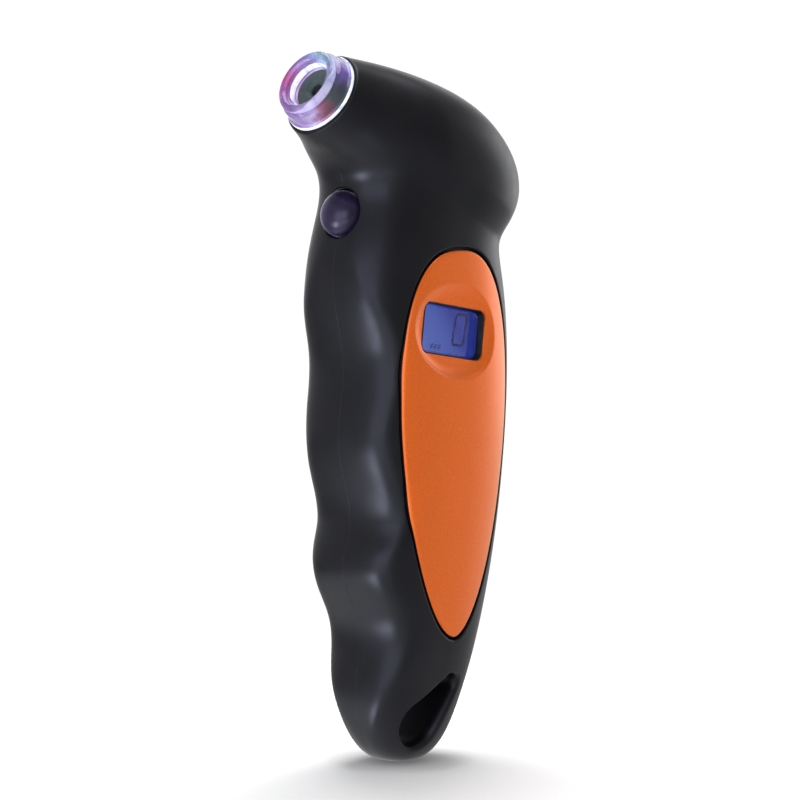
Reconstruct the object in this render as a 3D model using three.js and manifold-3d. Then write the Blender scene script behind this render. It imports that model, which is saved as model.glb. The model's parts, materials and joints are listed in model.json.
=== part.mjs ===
// A digital tyre pressure gauge with a pistol grip, in millimetres, +Z up.
// It stands on its tail. -X is the finger side, where the nozzle points, +X is the palm side,
// and the display is on the -Y side. The origin is under the middle of the overall outline.
import * as THREE from "three";
import { mergeVertices } from "three/addons/utils/BufferGeometryUtils.js";
import Module from "manifold-3d";

const wasm = await Module();
wasm.setup();

// ---------------------------------------------------------------------------
// Driving dimensions
// ---------------------------------------------------------------------------

// The outline is drawn about the grip's own axis, which lies this far from the origin.
const GRIP_AXIS_X = 3.86;

// Stations up the body, from the tip of the tail to the nozzle's seat. Each has the front and
// back point in the middle plane, half the thickness there, and how square the front and back
// of the section are (2 is an ellipse, 3 is nearly a rounded box).
const STATIONS = [
  { front: [-4.0, 0.0], back: [-4.0, 0.0], half: 0.0, square: [2.2, 2.1] },
  { front: [-9.8, 0.2], back: [2.0, 0.3], half: 5.4, square: [2.2, 2.1] },
  { front: [-14.4, 4.0], back: [7.2, 5.0], half: 8.2, square: [2.4, 2.1] },
  { front: [-17.8, 11.0], back: [10.6, 12.0], half: 10.2, square: [2.6, 2.1] },
  { front: [-19.6, 20.0], back: [13.8, 21.0], half: 12.0, square: [2.8, 2.2] },
  { front: [-21.2, 30.5], back: [16.9, 31.0], half: 13.2, square: [2.9, 2.2] },
  { front: [-23.2, 42.0], back: [19.7, 42.0], half: 14.2, square: [3.0, 2.2] },
  { front: [-23.6, 54.0], back: [21.8, 54.0], half: 14.9, square: [3.0, 2.2] },
  { front: [-24.2, 68.0], back: [23.4, 67.0], half: 15.4, square: [3.0, 2.2] },
  { front: [-24.6, 82.0], back: [24.3, 80.0], half: 15.6, square: [3.0, 2.2] },
  { front: [-25.0, 95.0], back: [24.1, 92.0], half: 15.6, square: [3.0, 2.2] },
  { front: [-24.1, 105.5], back: [22.8, 102.0], half: 15.3, square: [3.0, 2.2] },
  { front: [-22.2, 113.0], back: [20.6, 109.5], half: 14.8, square: [2.9, 2.2] },
  { front: [-20.9, 118.0], back: [24.0, 113.4], half: 14.8, square: [2.8, 2.2] },
  { front: [-20.6, 121.3], back: [27.8, 118.6], half: 15.4, square: [2.7, 2.2] },
  { front: [-21.2, 123.8], back: [26.9, 126.2], half: 15.8, square: [2.6, 2.2] },
  { front: [-22.5, 125.6], back: [21.0, 133.6], half: 16.0, square: [2.5, 2.2] },
  { front: [-24.1, 127.0], back: [12.2, 139.9], half: 15.5, square: [2.4, 2.2] },
  { front: [-26.0, 128.4], back: [1.6, 143.9], half: 14.1, square: [2.2, 2.1] },
  { front: [-27.8, 129.4], back: [-8.0, 146.1], half: 12.2, square: [2.0, 2.0] },
  { front: [-29.5, 130.5], back: [-15.4, 147.2], half: 10.5, square: [2.0, 2.0] },
  { front: [-31.0, 131.6], back: [-22.5, 147.9], half: 9.2, square: [2.0, 2.0] },
];
// Finger grooves in the front of the grip: height, depth, and how far they fade above and below.
const GROOVES = [
  { z: 85.0, depth: 3.8, above: 12.2, below: 14.0 },
  { z: 52.7, depth: 4.6, above: 12.5, below: 8.3 },
  { z: 29.1, depth: 4.6, above: 10.6, below: 11.9 },
];
const GROOVE_CROWN = 0.4; // how much deeper a groove is at its sides
const GROOVE_BLEND = 1.5; // how far a groove's edge is rounded, in depths
// The head bulges out above a line that falls towards the palm side.
const DOME = { z: 119.7, slope: -0.415, lift: 1.3, blend: 3.5, fadeFrom: -20, fadeTo: -6 };

const RINGS = 31; // rings up the body
const SIDES = 10; // steps round half a section
const WALL = 2.4;
const PARTING_GAP = 0.1; // from the middle plane to each half's edge

// Face panel: a leaf outline in the XZ plane, set flush into the display side.
const LEAF = { x: 0, z: 76, halfWidth: 17.2, up: 32.2, down: 49.1 };
const LEAF_SQUARE = { upFront: 2.7, upBack: 2.25, downFront: 1.78, downBack: 1.65 };
const PANEL_THICK = 1.3;
const PANEL_SIDE_GAP = 0.6;
const PANEL_FLOOR_GAP = 0.3;

// Display: everything here is centred on the window and turned with it.
const WINDOW = { x: -2.1, z: 91.3, width: 19, height: 10.6, corner: 1.9, tilt: 7.7 };
const DISH = { halfWidth: 13.2, halfHeight: 9.8, y: -13.8, rise: 3.4 };
const BEZEL_RIM = 0.4;
const FIT = 0.1; // clearance between parts that sit in each other

// Nozzle: sizes along its axis are counted outwards from the end of the housing.
const NOZZLE = { mouth: 4.75, lip: 7.05, body: 7.9, flange: 8.6, shank: 6.2, front: 5.9 };
const SEAL = { radius: 4.5, face: 2.8, back: -1, hole: 1.3 };

// Button: sizes along its axis are counted outwards from the housing's surface.
const BUTTON = { station: 12.56, radius: 4.8, dome: 3.3, hole: 5.1 };

// Battery bay on the +Y side.
const BAY = { x: 0, z: 62, outer: 14.8, pocket: 13.2, ledge: 11.9, cell: 10.6 };
const BAY_Y = { face: 14.1, ledgeTop: 12.1, ledgeLow: 11.6, lugLow: 10.4, floor: 8.6, base: 7.2 };
const CELL = { radius: 10, thick: 3.2 };
const DOOR_RADIUS = 12.9;

// Lanyard slot: the outline round two circles in the XZ plane.
const SLOT = { top: [0.2, 16.8], topRadius: 2.4, low: [-7.2, 9.3], lowRadius: 4.9, wall: 1.8 };

// Screws that join the housing halves, and screws that hold the main board.
const HOUSING_SCREWS = [
  { name: "housing_screw_head", x: 6, z: 130, seat: 11.5, tip: -9 },
  { name: "housing_screw_neck", x: 11, z: 112, seat: 8.6, tip: -7 },
  { name: "housing_screw_front", x: -12.5, z: 36, seat: 7.6, tip: -7 },
  { name: "housing_screw_back", x: 9, z: 36, seat: 7.6, tip: -7 },
];
const SCREW = { head: 2.6, headThick: 1.8, shank: 1.35, boss: 3.4, well: 2.9 };
const BOARD = { left: -14, right: 13.6, low: 46, high: 101.4, yLow: -7.4, yHigh: -5.8 };
const BOARD_SCREWS = [
  { name: "board_screw_front", x: -10, z: 50 },
  { name: "board_screw_back", x: 10, z: 50 },
];
const SENSOR = { x: 2, z: 97, size: 8, y: -3.7, nipple: 1.4, top: 109 };
const HOSE = { outer: 2.7, bore: 1.75 };
// The ribbon's side view: [y, z] down its face nearer +Y.
const RIBBON = {
  left: -12.4, right: -6.4, thick: 0.4,
  run: [[-0.4, 106.0], [-0.9, 105.0], [-2, 103.4], [-3.6, 101.6], [-4.7, 99.6], [-4.9, 96.6]],
};

// ---------------------------------------------------------------------------
// Materials
// ---------------------------------------------------------------------------

const material = (color, roughness, metalness = 0, more = {}) =>
  new THREE.MeshStandardMaterial({ color, roughness, metalness, ...more });
const MATERIALS = {
  grip: material(0x1d1d20, 0.5),
  panel: material(0xe87433, 0.45),
  clear: material(0xcfc8f0, 0.08, 0, { transparent: true, opacity: 0.4 }),
  button: material(0x2c2a44, 0.2),
  rubber: material(0x141516, 0.8),
  glass: material(0xdfe6f2, 0.05, 0, { transparent: true, opacity: 0.3 }),
  display: material(0x3450c8, 0.3),
  plastic: material(0xe8e8e4, 0.5),
  board: material(0x1f6b3a, 0.55),
  black: material(0x101012, 0.4),
  steel: material(0xb9bcc0, 0.3, 1),
  brass: material(0xc9a24e, 0.3, 1),
  hose: material(0xd8d4cc, 0.6),
  redWire: material(0xb02020, 0.5),
};

// ---------------------------------------------------------------------------
// Geometry helpers
// ---------------------------------------------------------------------------

/** Six times the volume inside a triangle mesh, negative if its faces point inwards. */
function signedVolume(positions, triangles) {
  const corner = (i) => new THREE.Vector3().fromArray(positions, 3 * triangles[i]);
  let sum = 0;
  for (let i = 0; i < triangles.length; i += 3)
    sum += corner(i).dot(corner(i + 1).cross(corner(i + 2)));
  return sum;
}

/** A manifold-3d solid from a closed three.js geometry, turned the right way out. */
function solid(geometry) {
  const bare = geometry.index ? geometry.toNonIndexed() : geometry;
  const only = new THREE.BufferGeometry().setAttribute("position", bare.getAttribute("position"));
  const merged = mergeVertices(only, 1e-4);
  const triVerts = new Uint32Array(merged.index.array);
  const vertProperties = merged.attributes.position.array;
  if (signedVolume(vertProperties, triVerts) < 0)
    for (let i = 0; i < triVerts.length; i += 3)
      [triVerts[i + 1], triVerts[i + 2]] = [triVerts[i + 2], triVerts[i + 1]];
  return new wasm.Manifold(new wasm.Mesh({ numProp: 3, vertProperties, triVerts }));
}

/** The three.js geometry of a manifold-3d solid. */
function geometryOf(made) {
  const mesh = made.getMesh();
  const positions = new Float32Array(mesh.numVert * 3);
  for (let i = 0; i < mesh.numVert; i++)
    positions.set(mesh.vertProperties.subarray(i * mesh.numProp, i * mesh.numProp + 3), i * 3);
  const geometry = new THREE.BufferGeometry()
    .setAttribute("position", new THREE.BufferAttribute(positions, 3))
    .setIndex(new THREE.BufferAttribute(mesh.triVerts, 1))
    .toNonIndexed();
  geometry.computeVertexNormals();
  return geometry;
}

/** A solid of revolution about Y, from [radius, height] pairs that start and end on the axis. */
const turned = (profile, segments = 32) =>
  solid(new THREE.LatheGeometry(profile.map(([r, h]) => new THREE.Vector2(r, h)), segments));

/** A ring about Y, from [radius, height] pairs that go once round its section. */
const turnedRing = (profile, segments = 32) => turned([...profile, profile[0]], segments);

/** A cylinder along Y. */
const rod = (radius, low, high, segments = 24) =>
  turned([[0, low], [radius, low], [radius, high], [0, high]], segments);

/** A box between two corners. */
function box(low, high) {
  const size = high.map((v, i) => v - low[i]);
  const middle = high.map((v, i) => (v + low[i]) / 2);
  return solid(new THREE.BoxGeometry(...size).translate(...middle));
}

/** An outline in the XZ plane, extruded along Y. */
function prism(shape, yLow, yHigh, curveSegments = 8) {
  const options = { depth: yHigh - yLow, bevelEnabled: false, curveSegments };
  return solid(new THREE.ExtrudeGeometry(shape, options).rotateX(Math.PI / 2).translate(0, yHigh, 0));
}

/** A tube along a curve, hollow if it has a bore. */
function tube(points, radius, bore, steps, sides) {
  const section = new THREE.Shape().absarc(0, 0, radius, 0, 2 * Math.PI);
  if (bore) section.holes.push(new THREE.Path().absarc(0, 0, bore, 0, 2 * Math.PI, true));
  const extrudePath = new THREE.CatmullRomCurve3(points.map((p) => new THREE.Vector3(...p)));
  return solid(new THREE.ExtrudeGeometry(section, { steps, curveSegments: sides, extrudePath }));
}

function roundedRect(width, height, corner) {
  const [x, z] = [width / 2 - corner, height / 2 - corner];
  const turn = Math.PI / 2;
  return new THREE.Shape()
    .absarc(x, z, corner, 0, turn)
    .absarc(-x, z, corner, turn, 2 * turn)
    .absarc(-x, -z, corner, 2 * turn, 3 * turn)
    .absarc(x, -z, corner, 3 * turn, 4 * turn);
}

const ellipse = (halfWidth, halfHeight) =>
  new THREE.Shape().absellipse(0, 0, halfWidth, halfHeight, 0, 2 * Math.PI);

/** A solid moved by a placement matrix. */
const moved = (made, matrix) => solid(geometryOf(made).applyMatrix4(matrix));

const smoothstep = (v) => {
  const t = THREE.MathUtils.clamp(v, 0, 1);
  return t * t * (3 - 2 * t);
};

// ---------------------------------------------------------------------------
// Body surface
// ---------------------------------------------------------------------------

const LAST = STATIONS.length - 1;

/** The station values at t by a uniform cubic B-spline that meets both end stations. */
function stationAt(t) {
  const rows = STATIONS.map((s) => [...s.front, ...s.back, s.half, ...s.square]);
  const beyond = (end, next) => end.map((v, k) => 2 * v - next[k]);
  const row = (i) => {
    if (i < 0) return beyond(rows[0], rows[1]);
    if (i > LAST) return beyond(rows[LAST], rows[LAST - 1]);
    return rows[i];
  };
  const i = Math.min(Math.floor(t), LAST - 1);
  const f = t - i;
  const weights = [
    (1 - f) ** 3 / 6,
    (3 * f ** 3 - 6 * f ** 2 + 4) / 6,
    (-3 * f ** 3 + 3 * f ** 2 + 3 * f + 1) / 6,
    f ** 3 / 6,
  ];
  const v = rows[0].map((_, k) => weights.reduce((sum, w, n) => sum + w * row(i + n - 1)[k], 0));
  return { front: [v[0], v[1]], back: [v[2], v[3]], half: v[4], square: [v[5], v[6]] };
}

/** Half a section's curve in its own plane, from the front to the back. */
function superellipse(reach, half, square) {
  const fine = 240;
  return Array.from({ length: fine + 1 }, (_, i) => {
    const angle = (Math.PI * i) / fine;
    const power = 2 / (i < fine / 2 ? square[0] : square[1]);
    const u = -Math.sign(Math.cos(angle)) * reach * Math.abs(Math.cos(angle)) ** power;
    return [u, half * Math.abs(Math.sin(angle)) ** power];
  });
}

/** A finger groove's new place for a point: cut back to a gently crowned front, blended in. */
function scooped(u, edge, front, groove) {
  if (groove < 1e-3) return u;
  const cut = front + groove * (1 + GROOVE_CROWN * edge ** 2);
  const blend = GROOVE_BLEND * groove;
  return Math.max(u, cut) + Math.max(blend - Math.abs(u - cut), 0) ** 2 / (4 * blend);
}

/** The points at even steps along a curve. */
function evenlySpaced(curve, steps) {
  const end = curve.length - 1;
  const run = [0];
  for (let i = 1; i <= end; i++)
    run.push(run[i - 1] + Math.hypot(curve[i][0] - curve[i - 1][0], curve[i][1] - curve[i - 1][1]));
  let k = 0;
  return Array.from({ length: steps + 1 }, (_, i) => {
    const want = (run[end] * i) / steps;
    while (k < end - 1 && run[k + 1] < want) k++;
    const share = (want - run[k]) / (run[k + 1] - run[k] || 1);
    return curve[k].map((v, n) => v + (curve[k + 1][n] - v) * share);
  });
}

/** How far the head's bulge pushes out a side point, where edge is 1 at the widest point. */
function domeLift(x, z, edge) {
  const above = (z - DOME.z - DOME.slope * x) / Math.hypot(1, DOME.slope);
  const fade = smoothstep((x - DOME.fadeFrom) / (DOME.fadeTo - DOME.fadeFrom));
  return DOME.lift * fade * smoothstep(above / (2 * DOME.blend) + 0.5) * edge ** 1.5;
}

/** Half a section at t, as points with y >= 0 from the front middle line to the back one. */
function halfSection(t) {
  const { front, back, half, square } = stationAt(t);
  const middle = [(front[0] + back[0]) / 2, (front[1] + back[1]) / 2];
  const length = Math.hypot(back[0] - front[0], back[1] - front[1]);
  const along = [(back[0] - front[0]) / length, (back[1] - front[1]) / length];
  const groove = GROOVES.reduce((sum, g) => {
    const above = front[1] - g.z;
    return sum + g.depth * Math.exp(-((above / (above > 0 ? g.above : g.below)) ** 2));
  }, 0);
  const outline = superellipse(length / 2, half, square)
    .map(([u, v]) => [scooped(u, v / half, -length / 2, groove), v]);
  return evenlySpaced(outline, SIDES).map(([u, v], i) => {
    const x = middle[0] + u * along[0];
    const z = middle[1] + u * along[1];
    const y = i === 0 || i === SIDES ? 0 : v;
    return new THREE.Vector3(x, y + domeLift(x, z, y / half), z);
  });
}

/** The body's rings of points, from just above the tail's tip to the nozzle's seat. */
function bodyRings() {
  const rings = [];
  for (let i = 1; i <= RINGS; i++) {
    const near = halfSection((LAST * i) / RINGS);
    const far = near.slice(1, -1).reverse().map((p) => new THREE.Vector3(p.x, -p.y, p.z));
    rings.push([...near, ...far]);
  }
  return rings;
}

const rings = bodyRings();

/** The outward normal at each point of the rings. */
function ringNormals() {
  const around = 2 * SIDES;
  return rings.map((ring, i) =>
    ring.map((_, j) => {
      const up = rings[Math.min(i + 1, RINGS - 1)][j].clone().sub(rings[Math.max(i - 1, 0)][j]);
      const round = ring[(j + 1) % around].clone().sub(ring[(j + around - 1) % around]);
      return up.cross(round).normalize();
    }));
}

const normals = ringNormals();

/** The body as a closed solid, shrunk all over by an inset, from every ring or every nth one. */
function bodySolid(inset, every = 1) {
  const around = 2 * SIDES;
  const used = [...rings.keys()].filter((i) => (RINGS - 1 - i) % every === 0);
  const tip = new THREE.Vector3(STATIONS[0].front[0], 0, inset);
  const points = used.flatMap((i) =>
    rings[i].map((p, j) => p.clone().addScaledVector(normals[i][j], -inset)));
  const end = new THREE.Vector3();
  points.slice(-around).forEach((p) => end.add(p));
  end.divideScalar(around);
  const [tipIndex, endIndex] = [points.length, points.length + 1];
  const faces = [];
  for (let j = 0; j < around; j++) {
    const next = (j + 1) % around;
    faces.push([tipIndex, next, j]);
    for (let i = 0; i < used.length - 1; i++) {
      const [a, b] = [i * around + j, i * around + next];
      faces.push([a, b, b + around], [a, b + around, a + around]);
    }
    faces.push([(used.length - 1) * around + j, (used.length - 1) * around + next, endIndex]);
  }
  const flat = [...points, tip, end].flatMap((p) => [p.x, p.y, p.z]);
  const geometry = new THREE.BufferGeometry()
    .setAttribute("position", new THREE.Float32BufferAttribute(flat, 3))
    .setIndex(faces.flat());
  return solid(geometry);
}

// ---------------------------------------------------------------------------
// Placements
// ---------------------------------------------------------------------------

/** A group whose +Y points along a direction in the XZ plane, out of a seat. */
function seatGroup(x, z, outX, outZ) {
  const group = new THREE.Group();
  group.position.set(x, 0, z);
  const up = new THREE.Vector3(0, 1, 0);
  group.quaternion.setFromUnitVectors(up, new THREE.Vector3(outX, 0, outZ).normalize());
  group.updateMatrix();
  return group;
}

/** The nozzle's seat: the middle of the last station, square to it. */
function nozzleSeat() {
  const { front, back } = STATIONS[LAST];
  const [x, z] = [(front[0] + back[0]) / 2, (front[1] + back[1]) / 2];
  return seatGroup(x, z, -(back[1] - front[1]), back[0] - front[0]);
}

/** The button's seat: on the front middle line, square to it. */
function buttonSeat() {
  const step = 0.05;
  const [x, z] = stationAt(BUTTON.station).front;
  const before = stationAt(BUTTON.station - step).front;
  const after = stationAt(BUTTON.station + step).front;
  return seatGroup(x, z, -(after[1] - before[1]), after[0] - before[0]);
}

const gauge = new THREE.Group();
gauge.position.x = GRIP_AXIS_X;
const nozzle = nozzleSeat();
const button = buttonSeat();
const display = new THREE.Group();
display.position.set(WINDOW.x, 0, WINDOW.z);
display.rotation.y = THREE.MathUtils.degToRad(WINDOW.tilt);
display.updateMatrix();
gauge.add(nozzle, button, display);

const at = (x, z) => new THREE.Matrix4().makeTranslation(x, 0, z);
const bayPlace = at(BAY.x, BAY.z);

/** Adds a named mesh to a group. */
function piece(group, name, made, look) {
  const mesh = new THREE.Mesh(geometryOf(made), look);
  mesh.name = name;
  group.add(mesh);
  return mesh;
}

/** A point on the nozzle's axis, a height above its seat. */
const onNozzle = (height, y = 0) => {
  const p = new THREE.Vector3(0, height, 0).applyMatrix4(nozzle.matrix);
  return [p.x, y, p.z];
};

// ---------------------------------------------------------------------------
// Outlines
// ---------------------------------------------------------------------------

/** The leaf outline of the face panel, grown evenly by a margin. */
function leafShape(grow, count = 48) {
  const points = Array.from({ length: count }, (_, i) => {
    const angle = (2 * Math.PI * i) / count;
    const [c, s] = [Math.cos(angle), Math.sin(angle)];
    const key = (s >= 0 ? "up" : "down") + (c < 0 ? "Front" : "Back");
    const power = 2 / LEAF_SQUARE[key];
    const tall = (s >= 0 ? LEAF.up : LEAF.down) + grow;
    return new THREE.Vector2(
      LEAF.x + Math.sign(c) * (LEAF.halfWidth + grow) * Math.abs(c) ** power,
      LEAF.z + Math.sign(s) * tall * Math.abs(s) ** power,
    );
  });
  return new THREE.Shape(points);
}

/** The outline round the slot's two circles, grown by a margin. */
function slotShape(grow) {
  const [dx, dz] = [SLOT.top[0] - SLOT.low[0], SLOT.top[1] - SLOT.low[1]];
  const heading = Math.atan2(dz, dx);
  const open = Math.acos((SLOT.lowRadius - SLOT.topRadius) / Math.hypot(dx, dz));
  const [from, to] = [heading - open, heading + open];
  return new THREE.Shape()
    .absarc(...SLOT.top, SLOT.topRadius + grow, from, to)
    .absarc(...SLOT.low, SLOT.lowRadius + grow, to, from + 2 * Math.PI);
}

// ---------------------------------------------------------------------------
// Housing and face panel
// ---------------------------------------------------------------------------

const BIG = 200; // past the body on every side
const outer = bodySolid(0);
const inner = bodySolid(WALL, 2);
const halfSpace = (side) =>
  side < 0 ? box([-BIG, -BIG, -BIG], [BIG, -PARTING_GAP, BIG])
    : box([-BIG, PARTING_GAP, -BIG], [BIG, BIG, BIG]);

/** The hollow inside the housing, with the slot's wall and the nozzle's end wall left standing. */
function cavity() {
  const endWall = moved(box([-BIG, -WALL, -BIG], [BIG, BIG, BIG]), nozzle.matrix);
  const slotWall = prism(slotShape(SLOT.wall), -BIG, BIG);
  const collarRoom = moved(rod(7.4, -5, -WALL, 32), nozzle.matrix);
  return inner.subtract(endWall).subtract(slotWall).add(collarRoom);
}

/** What is cut right through both halves: the slot, the nozzle's bore and the button's hole. */
function sharedCuts() {
  const bore = moved(rod(NOZZLE.shank + 0.2, -WALL - 1, 1, 32), nozzle.matrix);
  const hole = moved(rod(BUTTON.hole, -6, 6, 32), button.matrix);
  return prism(slotShape(0), -BIG, BIG).add(bore).add(hole);
}

function housingLeft() {
  let hollow = cavity();
  for (const s of HOUSING_SCREWS) hollow = hollow.subtract(moved(rod(SCREW.boss, -BIG, 0, 14), at(s.x, s.z)));
  for (const s of BOARD_SCREWS)
    hollow = hollow.subtract(moved(rod(2.4, -BIG, BOARD.yLow - FIT, 12), at(s.x, s.z)));
  let made = outer.intersect(halfSpace(-1)).subtract(hollow).subtract(sharedCuts());
  for (const s of HOUSING_SCREWS)
    made = made.subtract(moved(rod(SCREW.shank + 0.15, s.tip - 1, 1, 12), at(s.x, s.z)));
  for (const s of BOARD_SCREWS) made = made.subtract(moved(rod(1.05, -11, 0, 12), at(s.x, s.z)));
  const recess = prism(leafShape(PANEL_SIDE_GAP), -BIG, 0)
    .subtract(bodySolid(PANEL_THICK + PANEL_FLOOR_GAP));
  const opening = moved(prism(ellipse(DISH.halfWidth + 1.2, DISH.halfHeight + 1.2), -BIG, -6),
    display.matrix);
  return made.subtract(recess).subtract(opening);
}

/** The battery bay's cup, as the solid that stands inside the housing. */
const bayCup = () => moved(rod(BAY.outer, BAY_Y.base, BIG, 24), bayPlace);

/** The room cut out of the bay's cup for the door, its lugs and the cell. */
function bayRoom() {
  const room = turned([
    [0, BAY_Y.floor], [BAY.cell, BAY_Y.floor], [BAY.cell, BAY_Y.lugLow],
    [BAY.pocket, BAY_Y.lugLow], [BAY.pocket, BAY_Y.ledgeLow], [BAY.ledge, BAY_Y.ledgeLow],
    [BAY.ledge, BAY_Y.ledgeTop], [BAY.pocket, BAY_Y.ledgeTop], [BAY.pocket, BIG], [0, BIG],
  ], 24);
  const notch = box([-BAY.pocket + 0.1, BAY_Y.ledgeLow - 0.2, -3], [BAY.pocket - 0.1, BAY_Y.ledgeTop + 0.2, 3]);
  const turnToNotch = new THREE.Matrix4().makeRotationY(THREE.MathUtils.degToRad(60));
  const wires = rod(0.9, 0, BAY_Y.floor + 1, 10)
    .add(moved(rod(0.9, 0, BAY_Y.floor + 1, 10), at(-9.6, 0)));
  return moved(room.add(moved(notch, turnToNotch)).add(wires), bayPlace);
}

function housingRight() {
  let hollow = cavity().subtract(bayCup());
  for (const s of HOUSING_SCREWS) hollow = hollow.subtract(moved(rod(SCREW.boss, 0, BIG, 14), at(s.x, s.z)));
  let made = outer.intersect(halfSpace(1)).subtract(hollow).subtract(sharedCuts()).subtract(bayRoom());
  for (const s of HOUSING_SCREWS) {
    const well = rod(SCREW.well, s.seat, BIG, 14).add(rod(SCREW.shank + 0.25, -1, s.seat + 1, 12));
    made = made.subtract(moved(well, at(s.x, s.z)));
  }
  return made;
}

/** The dish pressed into the panel round the window: flat in the middle, sloping up at its edge. */
function dishCut(grow) {
  const profile = [[0, 1], [0.72, 1], [0.82, 0.94], [0.92, 0.7], [1, 0.3], [1.06, 0], [0, 0]];
  const lathe = profile.map(([r, depth]) => [r + (r > 0 ? grow : 0), DISH.y - DISH.rise * (1 - depth)]);
  const stretch = new THREE.Matrix4().makeScale(DISH.halfWidth, 1, DISH.halfHeight);
  return moved(moved(turned(lathe.reverse(), 30), stretch), display.matrix);
}

function facePanel() {
  const skin = outer.subtract(bodySolid(PANEL_THICK)).intersect(prism(leafShape(0), -BIG, -1));
  const pad = moved(prism(ellipse(DISH.halfWidth + 0.8, DISH.halfHeight + 0.8), -BIG, DISH.y + PANEL_THICK),
    display.matrix).intersect(outer);
  const opening = moved(prism(roundedRect(WINDOW.width, WINDOW.height, WINDOW.corner), -BIG, 0, 6),
    display.matrix);
  return skin.add(pad).subtract(dishCut(0)).subtract(opening);
}

function buildHousing() {
  piece(gauge, "housing_left", housingLeft(), MATERIALS.grip);
  piece(gauge, "housing_right", housingRight(), MATERIALS.grip);
  piece(gauge, "face_panel", facePanel(), MATERIALS.panel);
}

// ---------------------------------------------------------------------------
// Display stack, from the panel inwards
// ---------------------------------------------------------------------------

const PANEL_BACK = DISH.y + PANEL_THICK;

function lcdBezel() {
  const [w, h] = [WINDOW.width - 2 * FIT, WINDOW.height - 2 * FIT];
  const rim = prism(roundedRect(w, h, WINDOW.corner - FIT), DISH.y, PANEL_BACK + 1, 4);
  const flange = prism(roundedRect(w + 4, h + 3, 1), PANEL_BACK + FIT, PANEL_BACK + 1, 2);
  const [inW, inH] = [w - 2 * BEZEL_RIM, h - 2 * BEZEL_RIM];
  const hole = prism(roundedRect(inW, inH, WINDOW.corner - FIT - BEZEL_RIM), -BIG, 0, 4);
  return rim.add(flange).subtract(hole);
}

function buildDisplay() {
  piece(display, "lcd_bezel", lcdBezel(), MATERIALS.black);
  const [w, h] = [WINDOW.width - 2 * (2 * FIT + BEZEL_RIM), WINDOW.height - 2 * (2 * FIT + BEZEL_RIM)];
  piece(display, "lcd_window", prism(roundedRect(w, h, 1.2), -12.4, -11.6, 5), MATERIALS.glass);
  piece(display, "lcd_glass", box([-11.6, -11.4, -8.6], [11.6, -9.8, 6.4]), MATERIALS.display);
  piece(display, "backlight_plate", box([-11.4, -9.7, -5.4], [11.4, -7.6, 6.4]), MATERIALS.plastic);
  piece(display, "zebra_strip", box([-11.4, -9.7, -8.2], [11.4, -7.7, -6.2]), MATERIALS.rubber);
}

// ---------------------------------------------------------------------------
// Main board and what is on it
// ---------------------------------------------------------------------------

function mainBoard() {
  const corner = 2;
  const [w, h] = [BOARD.right - BOARD.left, BOARD.high - BOARD.low];
  const middle = at((BOARD.right + BOARD.left) / 2, (BOARD.high + BOARD.low) / 2);
  let made = moved(prism(roundedRect(w, h, corner), BOARD.yLow, BOARD.yHigh, 4), middle);
  for (const s of BOARD_SCREWS) made = made.subtract(moved(rod(1.3, -BIG, 0, 12), at(s.x, s.z)));
  return made;
}

function controllerBlob() {
  const y = BOARD.yHigh + FIT;
  return moved(turned([[0, y], [5, y], [4.6, y + 0.7], [3.4, y + 1.3], [1.7, y + 1.6], [0, y + 1.7]], 20),
    at(-2, 74));
}

function pressureSensor() {
  const half = SENSOR.size / 2;
  const body = box([SENSOR.x - half, BOARD.yHigh + FIT, SENSOR.z - half],
    [SENSOR.x + half, -1.7, SENSOR.z + half]);
  const nipple = rod(SENSOR.nipple, 0, SENSOR.top - SENSOR.z, 12);
  const upright = new THREE.Matrix4().makeRotationX(Math.PI / 2).setPosition(SENSOR.x, SENSOR.y, SENSOR.z);
  return body.add(moved(nipple, upright));
}

function boardScrew(s) {
  const y = BOARD.yHigh + FIT;
  const made = turned([[0, -10.6], [0.85, -10.2], [0.85, y], [2, y], [2, y + 0.7], [1.3, y + 1.2], [0, y + 1.2]], 16);
  return moved(made, at(s.x, s.z));
}

function buildBoard() {
  piece(gauge, "main_board", mainBoard(), MATERIALS.board);
  piece(gauge, "controller_blob", controllerBlob(), MATERIALS.black);
  piece(gauge, "pressure_sensor", pressureSensor(), MATERIALS.plastic);
  piece(gauge, "ribbon_socket", box([-13, BOARD.yHigh + FIT, 92.6], [-5.8, -4.2, 96.3]), MATERIALS.plastic);
  for (const s of BOARD_SCREWS) piece(gauge, s.name, boardScrew(s), MATERIALS.steel);
}

// ---------------------------------------------------------------------------
// Nozzle, its seal, pin, fitting and lamps
// ---------------------------------------------------------------------------

function nozzleTip() {
  const { mouth, lip, body, flange, shank, front } = NOZZLE;
  return turnedRing([
    [shank, -8.2], [shank, -4.2], [7, -4.1], [7, -2.8], [shank, -2.7], [shank, 0.5],
    [flange, 0.5], [flange, 1.1], [body, 1.4], [body - 0.2, 3.8], [lip - 0.5, 4.2],
    [lip, 4.5], [lip + 0.05, 5.2], [lip - 0.3, 5.7], [lip - 0.7, front], [mouth + 1, front],
    [mouth + 0.7, front - 0.5], [mouth, 3.6], [mouth, -3.4], [3.3, -3.4], [3.3, -8.2],
  ], 26);
}

function valveSeal() {
  const { radius, face, back, hole } = SEAL;
  return turnedRing([[hole, back], [radius, back], [radius, face - 0.3], [radius - 0.3, face],
    [hole + 0.9, face], [hole, face - 0.7]], 20);
}

function nozzleCore() {
  return turnedRing([
    [0.75, -16], [1.2, -16], [1.55, -14.6], [1.3, -14.4], [1.55, -12.6], [1.3, -12.4], [1.3, -10.9],
    [3, -10.8], [3, -3.2], [SEAL.radius, -3.2], [SEAL.radius, SEAL.back - FIT], [0.75, SEAL.back - FIT],
  ], 16);
}

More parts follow.
